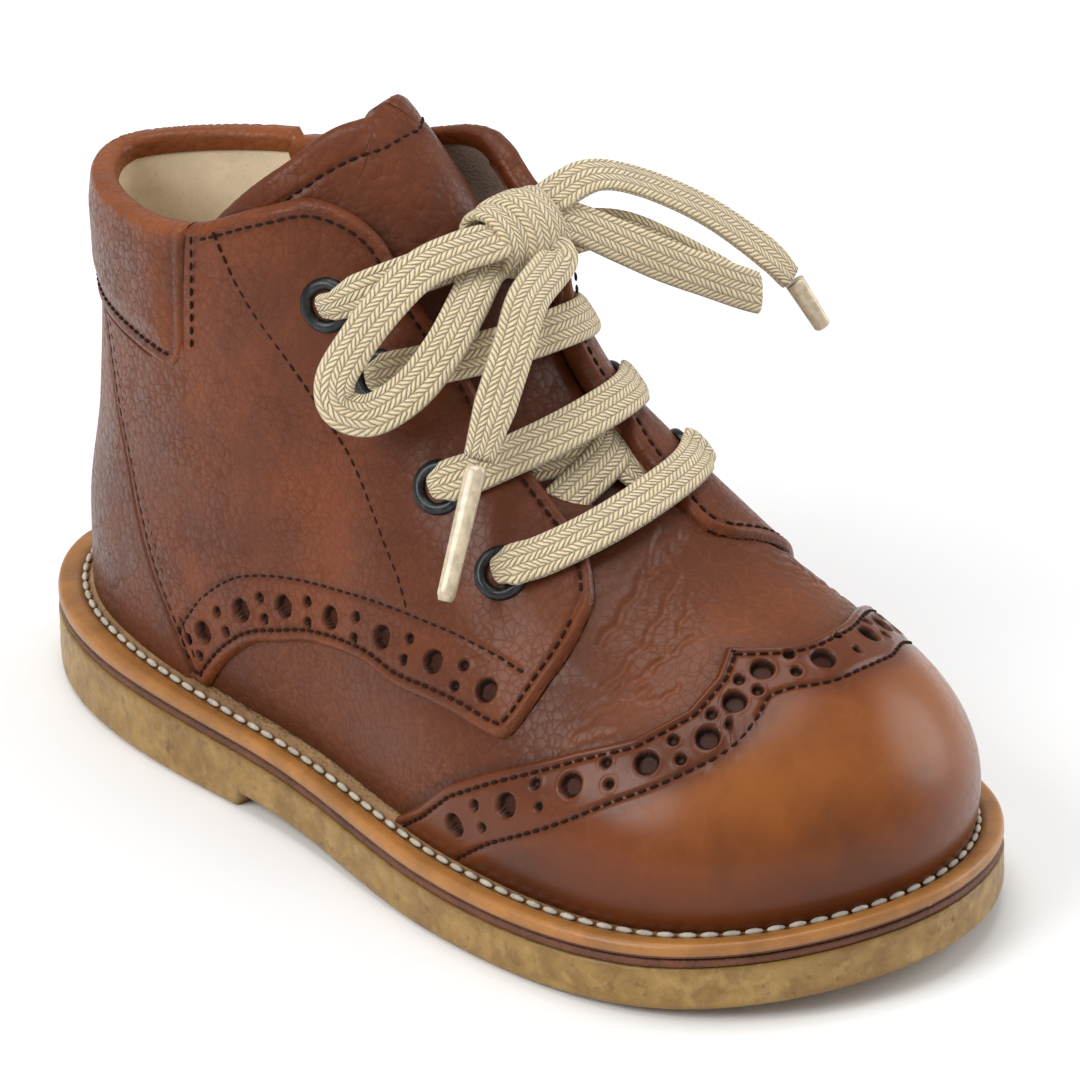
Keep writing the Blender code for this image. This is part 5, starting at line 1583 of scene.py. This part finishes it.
def make_quarter(lateral):
    """Quarter with its perforated strip, front tab, folded edges and rows of stitches."""
    tab = TAB_EDGE if lateral else MEDIAL_TAB
    marks = [QUARTER_EDGE[0][0], 0.709, TAB_FRONT - 0.004, TAB_FRONT] + [r[0] for r in tab]
    side = side_columns(COUNTER_SEAM[0][0], tab[-1][0], 330, marks)
    w = side if lateral else 2 - side
    foot = foot_of(w)
    seam = lift_at_height(w, seam_height(foot))
    ahead = foot >= COUNTER_SEAM[-1][0]
    low = np.where(ahead, curve(QUARTER_EDGE, 1, foot), seam)
    high = highest(w, lambda p, lateral_side: leather_here(p, lateral_side, 0.0, False))
    high = np.where(foot > tab[0][0], np.minimum(high, curve(tab, len(tab[0]) - 1, foot)), high)
    if not lateral:
        low = np.where(foot > MEDIAL_TAB[0][0], curve(MEDIAL_TAB, 1, foot), low)
    tuck = TUCK * ease((foot - TAB_FRONT + 0.06) / 0.03)
    under = lift_at_height(w, BALL_SEAT + COLLAR_RISE * TAB_LOW + tuck)
    behind = foot < TAB_FRONT - 1e-4
    high = np.where(behind, np.minimum(high, under), high)
    high = np.maximum(high, low + 0.004)
    reach = 11.5 / np.maximum(column_length(w, low, high), 1.0)
    v = split_rows(low, high, reach, 42, 58, False)
    columns = np.broadcast_to(w[:, None], v.shape)
    base, _ = surface(columns, v)
    low_line, _ = surface(w, low)
    high_line, _ = surface(w, high)
    front = surface(np.full(40, w[-1]), np.linspace(low[-1], high[-1], 40))[0]
    fold = np.vstack([dense(low_line[ahead]), dense(high_line[~behind]), dense(front)])
    edge = nearest(base, fold)
    seam_line = dense(low_line[~ahead])
    seam_gap = nearest(base, seam_line)
    strip_side = station_of(np.linspace(0.238, 0.720, 400))
    sw = strip_side if lateral else 2 - strip_side
    strip_foot = foot_of(sw)
    strip_v = lift_at_height(sw, curve(STRIP, 1, strip_foot))
    strip_line, strip_out = surface(sw, strip_v)
    strip = nearest(base, dense(strip_line))
    hole_foot = np.array([row[0] for row in STRIP[1:-1]])
    hw = station_of(hole_foot) if lateral else 2 - station_of(hole_foot)
    centres, outs = surface(hw, lift_at_height(hw, np.array([row[2] for row in STRIP[1:-1]])))
    large = list(centres)
    small = pairs_between(large, list(outs), sizes().punch_reach * 1000)
    small.append(centres[0] - (centres[1] - centres[0]) * 0.5)
    depth, hole = perforate(base, large, small)
    lift = -0.12 + (OUT + 0.12) * rounded(edge, 0.95)
    lift += 0.12 * bump(edge, 0.95, 0.45) - 0.22 * bump(edge, 1.75, 0.40)
    lift -= 0.75 * bump(seam_gap, 0, 0.45) + 0.12 * bump(seam_gap, 1.5, 0.35)
    lift -= 0.20 * bump(strip, 0, 0.40)
    lift -= depth
    lift += ease((edge - 2.2) / 8) * 0.20
    columns_foot = foot_of(columns)
    # Painted shade along the counter seam and the stitch rows; darker also over the front of the
    # quarter, towards the top
    shade_and_burnish = np.maximum.reduce([0.85 * bump(seam_gap, 0, 0.9), 0.7 * bump(strip, 0, 0.7),
                                 0.6 * bump(edge, 1.75, 0.6), 0.5 * bump(seam_gap, 1.5, 0.5)])
    worn = 0.30 * bump(edge, 0.55, 0.5)
    front = ease((columns_foot - 0.40) / 0.22) * ease((v - 0.25) / 0.3)
    shade_and_burnish = np.maximum(shade_and_burnish, 0.42 * front)
    # Painted light low on the front of the quarter
    painted_light = 0.12 * ease((columns_foot - 0.60) / 0.10) * ease((0.80 - v) / 0.3)
    name = "quarter_outside" if lateral else "quarter_inside"
    piece = sheet(name, w, v, lift, {"crease": worn, "shade_and_burnish": shade_and_burnish, "hole": hole,
                                     "painted_light": painted_light}, turn_in=ROLL)
    finish_piece(piece, [material("pebbled_leather")],
                 ["quarter_lateral" if lateral else "quarter_medial"])
    sign = 1 if lateral else -1
    ends = slice(3, -3)
    wa, la = w[ahead], low[ahead]
    rows = [dense(inside_line(wa[ends], la[ends], sign, 1.75, OUT - 0.06), 0.4)]
    wh, hh = w[~behind], high[~behind]
    rows.append(dense(inside_line(wh[8:-1], hh[8:-1], -sign, 1.75, OUT - 0.06), 0.4))
    keep = strip_v > np.interp(strip_foot, foot, low) + 0.01
    rows.append(dense((strip_line + strip_out * (OUT - 0.06))[keep], 0.4))
    for beside in (1.5, 3.1):
        rows.append(dense(inside_line(w[~ahead][2:-4], low[~ahead][2:-4], sign, beside,
                                      OUT - 0.02), 0.4))
    share, height = np.array(FACING_SEAM).T
    at = station_of((share * LENGTH - FEATHER.back) / (FEATHER.tip - FEATHER.back))
    at = at if lateral else 2 - at
    line, out = surface(at, lift_at_height(at, height))
    rows.append(dense(line + out * (OUT + 0.14), 0.4))
    return rows


def make_counter():
    end = float(station_of(COUNTER_SEAM[-1][0]))
    side = np.linspace(0, end, 110)
    w = np.concatenate([-side[:0:-1], side])
    foot = foot_of(np.abs(w))
    top = BALL_SEAT + COLLAR_RISE * TAB_LOW + 0.4
    height = np.where(foot < COUNTER_SEAM[0][0], top, np.minimum(seam_height(foot) + 0.3, top))
    w = w % 2
    high = lift_at_height(w, height)
    t = np.linspace(0, 1, 60)
    v = high[:, None] * t
    columns = np.broadcast_to(w[:, None], v.shape)
    base, _ = surface(columns, v)
    line = surface(w, high)[0]
    edge = nearest(base, dense(line))
    lift = OUT - 0.16 + 0 * v
    lift -= 0.9 * bump(edge, 0, 0.5)
    # Painted shade along the counter's top edge and above the welt
    shade = np.maximum(0.8 * bump(edge, 0, 1.2), 0.6 * bump(v, 0, 0.04))
    piece = sheet("heel_counter", w, v, lift, {"crease": 0 * v, "shade_and_burnish": shade,
                                               "hole": 0 * v, "painted_light": 0 * v})
    finish_piece(piece, [material("pebbled_leather")], ["counter"])


def make_collar_tab():
    end = float(station_of(TAB_FRONT - 0.002))
    side = np.linspace(0, end, 120)
    w = np.concatenate([-side[:0:-1], side]) % 2
    low = lift_at_height(w, BALL_SEAT + COLLAR_RISE * TAB_LOW)
    corner = last(w, low)[:, 0]
    before = np.minimum(corner[0] - corner, TAB_CORNER)
    raised = TAB_CORNER - np.sqrt(TAB_CORNER**2 - (TAB_CORNER - before) ** 2)
    low = lift_at_height(w, BALL_SEAT + COLLAR_RISE * TAB_LOW + raised)
    high = highest(w, lambda p, lateral: leather_here(p, lateral, 0.0))
    t = np.linspace(0, 1, 44)
    v = low[:, None] + (high - low)[:, None] * t
    columns = np.broadcast_to(w[:, None], v.shape)
    base, _ = surface(columns, v)
    lines = [surface(w, low)[0]]
    for k in (0, -1):
        lines.append(surface(np.full(40, w[k]), np.linspace(low[k], high[k], 40))[0])
    lip = nearest(base, np.vstack([dense(line) for line in lines]))
    rim = nearest(base, dense(surface(w, high)[0]))
    lift = 0.2 + (GAP + TAB - 0.2) * rounded(lip, 0.8) * (0.25 + 0.75 * rounded(rim, 1.1))
    lift -= 0.22 * bump(lip, 2.0, 0.45)
    lift += 0.55 * ease((lip - 2.2) / 3.5) * ease(rim / 5.0)
    # Painted shade in the stitch groove and at the band's lower edge and ends; below, painted light
    # along its rim
    shade = np.maximum(0.7 * bump(lip, 2.0, 0.6), 0.8 * bump(lip, 0.0, 0.5))
    piece = sheet("collar_band", w, v, lift, {"crease": 0.3 * bump(lip, 0.7, 0.4),
                                              "shade_and_burnish": shade, "hole": 0 * v,
                                              "painted_light": 0.5 * bump(rim, 0, 1.3)},
                  turn_in=ROLL)
    finish_piece(piece, [material("pebbled_leather")], ["collar_tab"])
    rows = [dense(inside_line(w[6:-6], low[6:-6], 1, 2.0, GAP + TAB - 0.05), 0.4)]
    for k, sign in ((0, 1), (-1, -1)):
        column = np.full(40, w[k])
        share = np.linspace(low[k], high[k], 40)[3:-2]
        rows.append(dense(inside_line(column[3:-2], share, sign, 2.0, GAP + TAB - 0.05), 0.4))
    return rows


def make_tongue():
    front = float(station_of((TONGUE_FRONT - HEEL_CENTRE) / (TOE_CENTRE - HEEL_CENTRE)))
    ahead = np.linspace(THROAT_END, HEEL_CENTRE, 400)
    peak = float(np.interp(BALL_SEAT + TONGUE_RISE, ridge_height(ahead), ahead))
    peak_w = float(station_of((peak - HEEL_CENTRE) / (TOE_CENTRE - HEEL_CENTRE)))
    side = np.unique(np.concatenate([np.linspace(float(station_of(TONGUE_BACK)), peak_w, 46),
                                     np.linspace(peak_w, front, 80)]))

    def lean(z):
        above = np.clip((z - TONGUE_BEND) / (BALL_SEAT + TONGUE_RISE - TONGUE_BEND), 0, 1)
        return TONGUE_LEAN * above**2

    def under_top(p, lateral):
        share = p[..., 0] / LENGTH
        rise = np.where(lateral, curve(TONGUE_EDGE, 1, share), curve(TONGUE_EDGE, 2, share))
        return p[..., 2] < BALL_SEAT + TONGUE_RISE * rise

    def outside(p, lateral):
        x = p[..., 0]
        up = np.clip((TONGUE_FRONT - x) / (TONGUE_FRONT - HEEL_CENTRE), 0, 1)
        half = TONGUE_HALF * (TONGUE_TAPER + (1 - TONGUE_TAPER) * up)
        below = BALL_SEAT + TONGUE_RISE * curve(TONGUE_SIDE, 1, x / LENGTH) - p[..., 2]
        return (np.abs(p[..., 1] - ridge_line(x)) > half) | (below > 0)

    points, faces, shade, tops = [], [], [], []
    rows = 44
    t = np.linspace(0, 1, rows)
    for w in (side, 2 - side):
        low = highest(w, outside)
        high = highest(w, under_top)
        high = np.where(side >= peak_w - 1e-9, 1.0, high)
        low = np.minimum(low, high - 0.01)
        v = low[:, None] + (high - low)[:, None] * t
        base, out = surface(np.broadcast_to(w[:, None], v.shape), v, False)
        top = base[side <= peak_w + 1e-9, -1]
        tops.append(top)
        rim = nearest(base, dense(top))
        pinch = 0.85 * (1 - rounded(rim, 1.2))
        seam = 0.22 * bump(rim, HEM, 0.45)
        deep = WALL + TONGUE_GAP + lean(base[..., 2])
        outer = base - out * (deep + pinch + seam)[..., None]
        inner = base - out * (deep + TONGUE - pinch)[..., None]
        for layer in (outer, inner):
            start = sum(len(p) for p in points)
            points.append(layer.reshape(-1, 3))
            faces += grid_faces(len(w), rows, start=start).tolist()
            # Painted shade: darker at the hem's stitch row and, deep in the throat, darker the lower
            # it lies
            buried = ease((TONGUE_BEND + 8 - base[..., 2]) / 12)
            shade.append(np.maximum(0.75 * bump(rim, HEM, 0.8), 0.35 + 0.60 * buried).ravel()
                         if layer is outer else 0 * rim.ravel())
        a = sum(len(p) for p in points[:-2])
        b = a + outer[..., 0].size
        count = len(w)
        for k in range(count - 1):
            faces.append((a + k * rows, a + (k + 1) * rows, b + (k + 1) * rows, b + k * rows))
            if side[k] < peak_w - 1e-9:
                m = rows - 1
                faces.append((a + k * rows + m, a + (k + 1) * rows + m,
                              b + (k + 1) * rows + m, b + k * rows + m))
        for k in (0, count - 1):
            for j in range(rows - 1):
                faces.append((a + k * rows + j, a + k * rows + j + 1,
                              b + k * rows + j + 1, b + k * rows + j))
    shade = np.concatenate(shade)
    piece = mesh_piece("tongue_leather", np.vstack(points), faces,
                       {"crease": 0 * shade, "shade_and_burnish": shade, "hole": 0 * shade,
                        "painted_light": 0 * shade})
    finish_piece(piece, [material("pebbled_leather")], ["tongue"])
    line = np.vstack([tops[0], tops[1][::-1]])
    stitches = []
    for w in (side, 2 - side):
        high = np.where(side >= peak_w - 1e-9, 1.0, highest(w, under_top))
        pick = (side <= peak_w + 0.02) & (side > side[0] + 0.01)
        target = []
        for station, top_v in zip(w[pick], high[pick]):
            v = np.linspace(0.2, top_v, 220)
            base, out = surface(np.full(220, station), v, False)
            d = nearest(base, dense(line))
            k = np.argmin(np.abs(d - HEM))
            if abs(d[k] - HEM) < 0.5:
                deep = WALL + TONGUE_GAP + lean(base[k, 2]) + 0.10
                target.append(base[k] - out[k] * deep)
        stitches.append(np.array(target))
    joined = np.vstack([stitches[0], stitches[1][::-1]])
    return [dense(joined, 0.4)]


# Eyelets and lace

def make_eyelets():
    profile = [
        (EYELET_INNER, -EYELET_DEPTH), (EYELET_INNER, 0.30), (EYELET_INNER + 0.10, 0.62),
        (2.30, 0.86), (2.70, 0.95), (3.05, 0.86), (EYELET_OUTER - 0.20, 0.62),
        (EYELET_OUTER - 0.03, 0.28), (EYELET_OUTER, 0.0), (EYELET_OUTER - 0.15, -0.12),
        (2.40, -0.12), (2.35, -EYELET_DEPTH),
    ]
    sides = 44
    for side, word in ((-1, "lateral"), (1, "medial")):
        for row, (foot, lateral, medial) in enumerate(EYELETS):
            centre, out = place(foot, lateral if side < 0 else medial, side, OUT + 0.12)
            wide = out.orthogonal().normalized()
            far = out.cross(wide)
            points = []
            for k in range(sides):
                angle = 2 * math.pi * k / sides
                ray = wide * math.cos(angle) + far * math.sin(angle)
                points += [tuple(centre + ray * r + out * h) for r, h in profile]
            count = len(profile)
            faces = []
            for k in range(sides):
                n = (k + 1) % sides
                for j in range(count):
                    m = (j + 1) % count
                    faces.append((k * count + j, n * count + j, n * count + m, k * count + m))
            piece = mesh_piece("ring_%s_%d" % (word, row + 1), points, faces)
            piece.data.set_sharp_from_angle(angle=math.radians(55))
            finish_piece(piece, [material("gunmetal_lacquer")],
                         ["eyelet_%s_%d" % (word, row + 1)])


def smooth_path(points, steps):
    """Points on a smooth curve through the given ones."""
    p = [Vector(q) for q in points]
    p = [2 * p[0] - p[1]] + p + [2 * p[-1] - p[-2]]
    path = []
    for a, b, c, d in zip(p, p[1:], p[2:], p[3:]):
        for k in range(steps):
            t = k / steps
            path.append(0.5 * (2 * b + (c - a) * t + (2 * a - 5 * b + 4 * c - d) * t**2
                               + (3 * b - a - 3 * c + d) * t**3))
    return path + [p[-2]]


def ribbon(name, path, outs, widths=None, thicks=None, thick=LACE_THICK):
    """Flat woven lace along a path; its UV map holds millimetres along and across."""
    sides = 20
    angles = [2 * math.pi * (k + 0.5) / sides for k in range(sides)]
    section = []
    for angle in angles:
        c, s = math.cos(angle), math.sin(angle)
        x = math.copysign(abs(c) ** 0.62, c) * 0.5
        y = math.copysign(abs(s) ** 0.80, s) * 0.5 * (1 - 0.10 * math.cos(2 * angle))
        section.append((x, y))
    points, uv = [], []
    run = 0.0
    for k, (point, out) in enumerate(zip(path, outs)):
        ahead = (path[min(k + 1, len(path) - 1)] - path[max(k - 1, 0)]).normalized()
        wide = ahead.cross(out).normalized()
        up = wide.cross(ahead)
        if k:
            run += (point - path[k - 1]).length
        width = LACE_WIDTH * (widths[k] if widths else 1)
        height = thick * (thicks[k] if thicks else 1)
        for x, y in section:
            points.append(tuple(point + wide * (x * width) + up * (y * height)))
            uv.append((run, x * LACE_WIDTH + 0.60))
    faces = []
    for k in range(len(path) - 1):
        for j in range(sides):
            n = (j + 1) % sides
            faces.append((k * sides + j, k * sides + n, (k + 1) * sides + n, (k + 1) * sides + j))
    end = (len(path) - 1) * sides
    faces += [tuple(range(sides)), tuple(range(end, end + sides))]
    piece = mesh_piece(name, points, faces, turn=False, uv=uv)
    shape = bmesh.new()
    shape.from_mesh(piece.data)
    bmesh.ops.recalc_face_normals(shape, faces=shape.faces)
    shape.to_mesh(piece.data)
    shape.free()
    return piece


def spread(ways, count):
    """Unit ways out, blended evenly along a path."""
    spans = np.linspace(0, len(ways) - 1, count)
    made = []
    for s in spans:
        i = min(int(s), len(ways) - 2)
        made.append(Vector(ways[i]).lerp(Vector(ways[i + 1]), s - i).normalized())
    return made


def planar_feet(corners, v, side, low, high):
    """Foot shares at which the surface, at shares v, meets the plane through three points."""
    first, middle, last_one = (np.array(corner) for corner in corners)
    normal = np.cross(first - middle, last_one - middle)
    a, b = np.full(len(v), low), np.full(len(v), high)

    def gap(foot):
        w = np.where(side < 0, station_of(foot), 2 - station_of(foot))
        return (last(w, v) - middle) @ normal

    sign = np.sign(gap(b))
    for _ in range(24):
        half = (a + b) / 2
        over = np.sign(gap(half)) == sign
        a, b = np.where(over, a, half), np.where(over, half, b)
    return (a + b) / 2


def make_bar(row):
    """Bar of the lace that comes up through one eyelet and goes down through the other."""
    foot, lateral, medial = EYELETS[row]
    samples = np.linspace(-1, 1, 61)
    rise = np.where(samples < 0, lateral, medial)
    shares = 1 - np.abs(samples) * (1 - rise)
    corners = [place(foot, lateral, -1)[0], place(BARS[row], 1.0, 1)[0],
               place(foot, medial, 1)[0]]
    feet = planar_feet(corners, shares, samples, foot - 0.05, BARS[row] + 0.05)
    path, outs, widths, thicks = [], [], [], []
    for share, at, v, top in zip(samples, feet, shares, rise):
        near = float(ease((abs(share) - 0.78) / 0.12))
        point, _ = place(at, v, share, OUT + 0.95 + 0.75 * near)
        turn = abs(share) * float(ease((abs(share) - 0.15) / 0.6))
        path.append(point)
        outs.append(place(BARS[row] - (BARS[row] - foot) * turn, 1 - turn * (1 - top), share)[1])
        narrow = float(ease((abs(share) - 0.93) / 0.07))
        widths.append(1 - 0.36 * narrow)
        thicks.append(1 + 0.45 * narrow)
    for end in (0, -1):
        side = -1 if end == 0 else 1
        v = lateral if side < 0 else medial
        tail = []
        for depth in (OUT + 0.9, OUT - 0.3, OUT - 1.6, OUT - 2.8):
            point, _ = place(foot, v, side, depth)
            inward = (path[3 if side < 0 else -4] - point).normalized()
            tail.append((point + inward * (0.15 if depth > OUT else -0.1), inward))
        for point, inward in tail:
            for values, value in ((path, point), (outs, -inward), (widths, 0.56), (thicks, 1.5)):
                values.insert(0 if end == 0 else len(values), value)
    piece = ribbon("lace_over_%d" % (row + 1), path, outs, widths, thicks)
    finish_piece(piece, [material("lace_cotton_weave")],
                 ["lace_bar_%d" % (row + 1)])


def make_crossing():
    lift = -WALL - TONGUE_GAP + 0.8
    for k, (lateral, middle, medial, extra) in enumerate((
            ((0.716, 0.815), (0.757, 0.985), (0.700, 0.900), 1.0),
            ((0.668, 0.820), (0.752, 0.985), (0.800, 0.950), 0.0))):
        ends = [place(*lateral, -1, lift - 0.9 * (1 - extra)),
                place(*middle, -1, lift + 0.5 * extra),
                place(*medial, 1, lift - 0.6)]
        path = smooth_path([point for point, _ in ends], 14)
        outs = spread([tuple(ends[0][1]), tuple(ends[1][1]), tuple(ends[2][1])], len(path))
        piece = ribbon("lace_under_%d" % (k + 1), path, outs, thick=1.0)
        finish_piece(piece, [material("lace_cotton_weave")],
                     ["lace_crossing"] if k == 0 else [])


def make_runs():
    """From the top eyelets to the knot."""
    ends = {-1: (76.2, 0.4, 75.9), 1: (75.6, 11.6, 75.2)}
    made = []
    for side, word in ((-1, "lateral"), (1, "medial")):
        foot, lateral, medial = EYELETS[-1]
        rise = lateral if side < 0 else medial
        hole = [place(foot, rise, side, depth)[0] for depth in (OUT - 2.6, OUT - 0.4, OUT + 1.0)]
        start, out = place(foot + 0.012, rise + 0.03, side, OUT + 1.9)
        near, near_out = place(foot + 0.055, rise + 0.16, side, OUT + 1.9)
        path = hole + smooth_path([start, near, Vector(ends[side])], 12)
        outs = [out.lerp(near_out, min(1.0, max(0, k - 3) / 12)) for k in range(len(path))]
        inward = (start - hole[0]).normalized()
        for k in range(3):
            outs[k] = (-(near - start).normalized() * 0.8 + inward * 0.05).normalized()
        widths = [0.56, 0.56, 0.60] + [min(1.0, 0.68 + 0.05 * k) for k in range(len(path) - 3)]
        thicks = [1.5, 1.5, 1.4] + [max(1.0, 1.3 - 0.04 * k) for k in range(len(path) - 3)]
        piece = ribbon("lace_rise_" + word, path, outs, widths, thicks)
        made.append(finish_piece(piece, [material("lace_cotton_weave")],
                                 ["lace_run_" + word]))
    return made


def make_knot():
    """Bow's knot: a band wrapped round the strands, over a filled middle."""
    centre = Vector(KNOT)
    tilt = Matrix.Rotation(0.75, 3, "Y")
    wraps = []
    for k, (turn, wide, high, along, size) in enumerate((
            (0.50, 5.4, 3.6, -0.6, 1.0), (-0.35, 4.9, 3.1, 3.4, 0.86),
            (0.25, 4.7, 3.0, -4.0, 0.86))):
        path, outs = [], []
        for j in range(41):
            angle = 2 * math.pi * j / 40
            local = Vector((math.cos(angle) * wide * 0.86, along + math.sin(angle) * turn * 2.6,
                            math.sin(angle) * high))
            out = Vector((math.cos(angle) / wide, 0, math.sin(angle) / high)).normalized()
            path.append(centre + tilt @ local)
            outs.append(tilt @ out)
        wraps.append(ribbon("knot_wrap_%d" % (k + 1), path, outs, [size] * 41, [1.15] * 41))
    middle = []
    for j in range(25):
        t = j / 24
        local = Vector((math.sin(t * 5.0) * 0.9, -6.4 + 12.8 * t, 0.5 * math.cos(t * 4.0)))
        middle.append(centre + tilt @ local)
    fill = [0.95 + 0.25 * math.sin(math.pi * j / 24) for j in range(25)]
    core = ribbon("knot_core", middle, [tilt @ Vector((0, 0, 1))] * 25, fill,
                  [3.0 + 1.2 * math.sin(math.pi * j / 24) for j in range(25)])
    for piece in wraps + [core]:
        piece.data.materials.append(material("lace_cotton_weave"))
        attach(piece, "root")
    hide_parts("lace_knot")
    return wraps + [core]


def make_aglet(name, start, end):
    path = smooth_path([Vector(start), (Vector(start) + Vector(end)) / 2, Vector(end)], 10)
    count = len(path)
    widths = [0.50 - 0.08 * (k / (count - 1)) for k in range(count)]
    widths[-1] *= 0.75
    thicks = [1.5] * count
    thicks[-1] = 0.9
    piece = ribbon("tip_" + name, path, [Vector((0.3, -0.6, 0.7)).normalized()] * count,
                   widths, thicks)
    return finish_piece(piece, [material("aglet_film")], [name])


def make_bow():
    runs = make_runs()
    knot = make_knot()
    tips = {name: make_aglet(name, *ends) for name, ends in AGLETS.items()}
    for name, route in LOOPS.items():
        inner = [Vector(route[0]).lerp(Vector(KNOT), 0.3)]
        outer = [Vector(route[-1]).lerp(Vector(KNOT), 0.3)] if "loop" in name else []
        path = smooth_path(inner + list(route) + outer, 10)
        outs = spread(WAYS[name], len(path))
        count = len(path)
        widths = [1.0] * count
        thicks = [1.0] * count
        if "end" in name:
            for k in range(10):
                widths[-1 - k] = 0.70 + 0.03 * k
                thicks[-1 - k] = 1.5 - 0.05 * k
        for k in range(8):
            widths[k] = 0.80 + 0.025 * k
        piece = ribbon(name + "_weave", path, outs, widths, thicks)
        finish_piece(piece, [material("lace_cotton_weave")], [name])


# Stage

def make_stage():
    scene = bpy.context.scene
    floor = bpy.data.meshes.new("floor")
    size = 4.0
    floor.from_pydata([(-size, -size, 0), (size, -size, 0), (size, size, 0), (-size, size, 0)],
                      [], [(0, 1, 2, 3)])
    ground = bpy.data.objects.new("floor", floor)
    scene.collection.objects.link(ground)
    paper, g, shader = new_material("pale_paper")
    tone = g.noise(object_vector(g), 3.0)
    link(g, g.mix(g.ramp(tone, 0.3, 0.7), (0.93, 0.93, 0.93, 1), (0.95, 0.95, 0.95, 1)),
         shader.inputs["Base Color"])
    shader.inputs["Roughness"].default_value = 0.9
    floor.materials.append(paper)
    world = bpy.data.worlds.new("studio")
    world.use_nodes = True
    world.node_tree.nodes["Background"].inputs[0].default_value = (1.0, 1.0, 1.0, 1.0)
    world.node_tree.nodes["Background"].inputs[1].default_value = 0.50
    scene.world = world
    lights = [
        ("key", (-0.15, -1.00, 0.85), 0.8, 9.0),
        ("top", (-0.05, 0.05, 1.15), 0.8, 5.5),
        ("back", (0.55, 0.95, 0.42), 0.8, 5.0),
    ]
    target = Vector((0.05, 0.0, 0.035))
    for name, spot, width, power in lights:
        data = bpy.data.lights.new(name, "AREA")
        data.shape = "DISK"
        data.size = width
        data.energy = power
        lamp = bpy.data.objects.new(name, data)
        lamp.location = spot
        lamp.rotation_euler = (target - Vector(spot)).to_track_quat("-Z", "Y").to_euler()
        scene.collection.objects.link(lamp)
    azimuth, elevation, roll = (math.radians(a) for a in (45.5, 26.586, -1.2))
    distance, aim = 1.0513, Vector((0.0583, 0.0, 0.03846))
    back = Vector((math.sin(azimuth) * math.cos(elevation),
                   -math.cos(azimuth) * math.cos(elevation), math.sin(elevation)))
    right = Vector((math.cos(azimuth), math.sin(azimuth), 0))
    up = back.cross(right)
    turned_right = right * math.cos(roll) + up * math.sin(roll)
    turned_up = up * math.cos(roll) - right * math.sin(roll)
    matrix = Matrix((turned_right, turned_up, back)).transposed().to_4x4()
    matrix.translation = aim + back * distance
    data = bpy.data.cameras.new("camera")
    data.sensor_width = 36
    data.lens = 278.0
    data.clip_start = 0.01
    camera = bpy.data.objects.new("camera", data)
    camera.matrix_world = matrix
    scene.collection.objects.link(camera)
    scene.camera = camera
    scene.view_settings.view_transform = "Standard"


class BOOT_OT_stage(bpy.types.Operator):
    """Pale floor, soft lights and the camera"""
    bl_idname = "boot.stage"
    bl_label = "Stage"

    def execute(self, context):
        make_stage()
        return {"FINISHED"}


class BOOT_OT_sole(bpy.types.Operator):
    """Crepe sole, leather runner, stitched welt and sock"""
    bl_idname = "boot.sole"
    bl_label = "Sole"

    def execute(self, context):
        make_crepe()
        make_runner()
        make_welt()
        make_insole()
        return {"FINISHED"}


class BOOT_OT_upper(bpy.types.Operator):
    """Upper with its lining, vamp, wing tip, quarters, counter, collar band and tongue"""
    bl_idname = "boot.upper"
    bl_label = "Upper"

    def execute(self, context):
        make_lining()
        make_vamp()
        rows = make_toe_cap()
        rows += make_quarter(True)
        rows += make_quarter(False)
        make_counter()
        rows += make_collar_tab()
        rows += make_tongue()
        s = sizes()
        rows = [row for row in rows if len(row) > 2]
        thread = sew("upper_stitches", rows, s.stitch * 1000, s.stitch * 780, s.thread * 1000,
                     material("brown_thread"))
        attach(thread, "root")
        return {"FINISHED"}


class BOOT_OT_eyelets(bpy.types.Operator):
    """Eight rolled eyelets"""
    bl_idname = "boot.eyelets"
    bl_label = "Eyelets"

    def execute(self, context):
        make_eyelets()
        return {"FINISHED"}


class BOOT_OT_lace(bpy.types.Operator):
    """Flat lace through the eyelets, tied in a bow"""
    bl_idname = "boot.lace"
    bl_label = "Lace"

    def execute(self, context):
        for row in range(3):
            make_bar(row)
        make_crossing()
        make_bow()
        return {"FINISHED"}


class BOOT_PT_panel(bpy.types.Panel):
    """Buttons and settings of the boot"""
    bl_label = "Boot"
    bl_idname = "BOOT_PT_panel"
    bl_space_type = "VIEW_3D"
    bl_region_type = "UI"
    bl_category = "Boot"

    def draw(self, context):
        layout = self.layout
        for operator in STEPS:
            layout.operator(operator.bl_idname)
        for group in (context.scene.boot_sizes, context.scene.boot_colours):
            for name in group.__annotations__:
                layout.prop(group, name)


STEPS = [BOOT_OT_stage, BOOT_OT_sole, BOOT_OT_upper, BOOT_OT_eyelets, BOOT_OT_lace]
CLASSES = [BootSizes, BootColours] + STEPS + [BOOT_PT_panel]


def register():
    for item in CLASSES:
        bpy.utils.register_class(item)
    bpy.types.Scene.boot_sizes = bpy.props.PointerProperty(type=BootSizes)
    bpy.types.Scene.boot_colours = bpy.props.PointerProperty(type=BootColours)


def unregister():
    del bpy.types.Scene.boot_sizes
    del bpy.types.Scene.boot_colours
    for item in reversed(CLASSES):
        bpy.utils.unregister_class(item)


def main():
    register()
    bpy.ops.boot.stage()
    bpy.ops.boot.sole()
    bpy.ops.boot.upper()
    bpy.ops.boot.eyelets()
    bpy.ops.boot.lace()


if __name__ == "__main__":
    main()
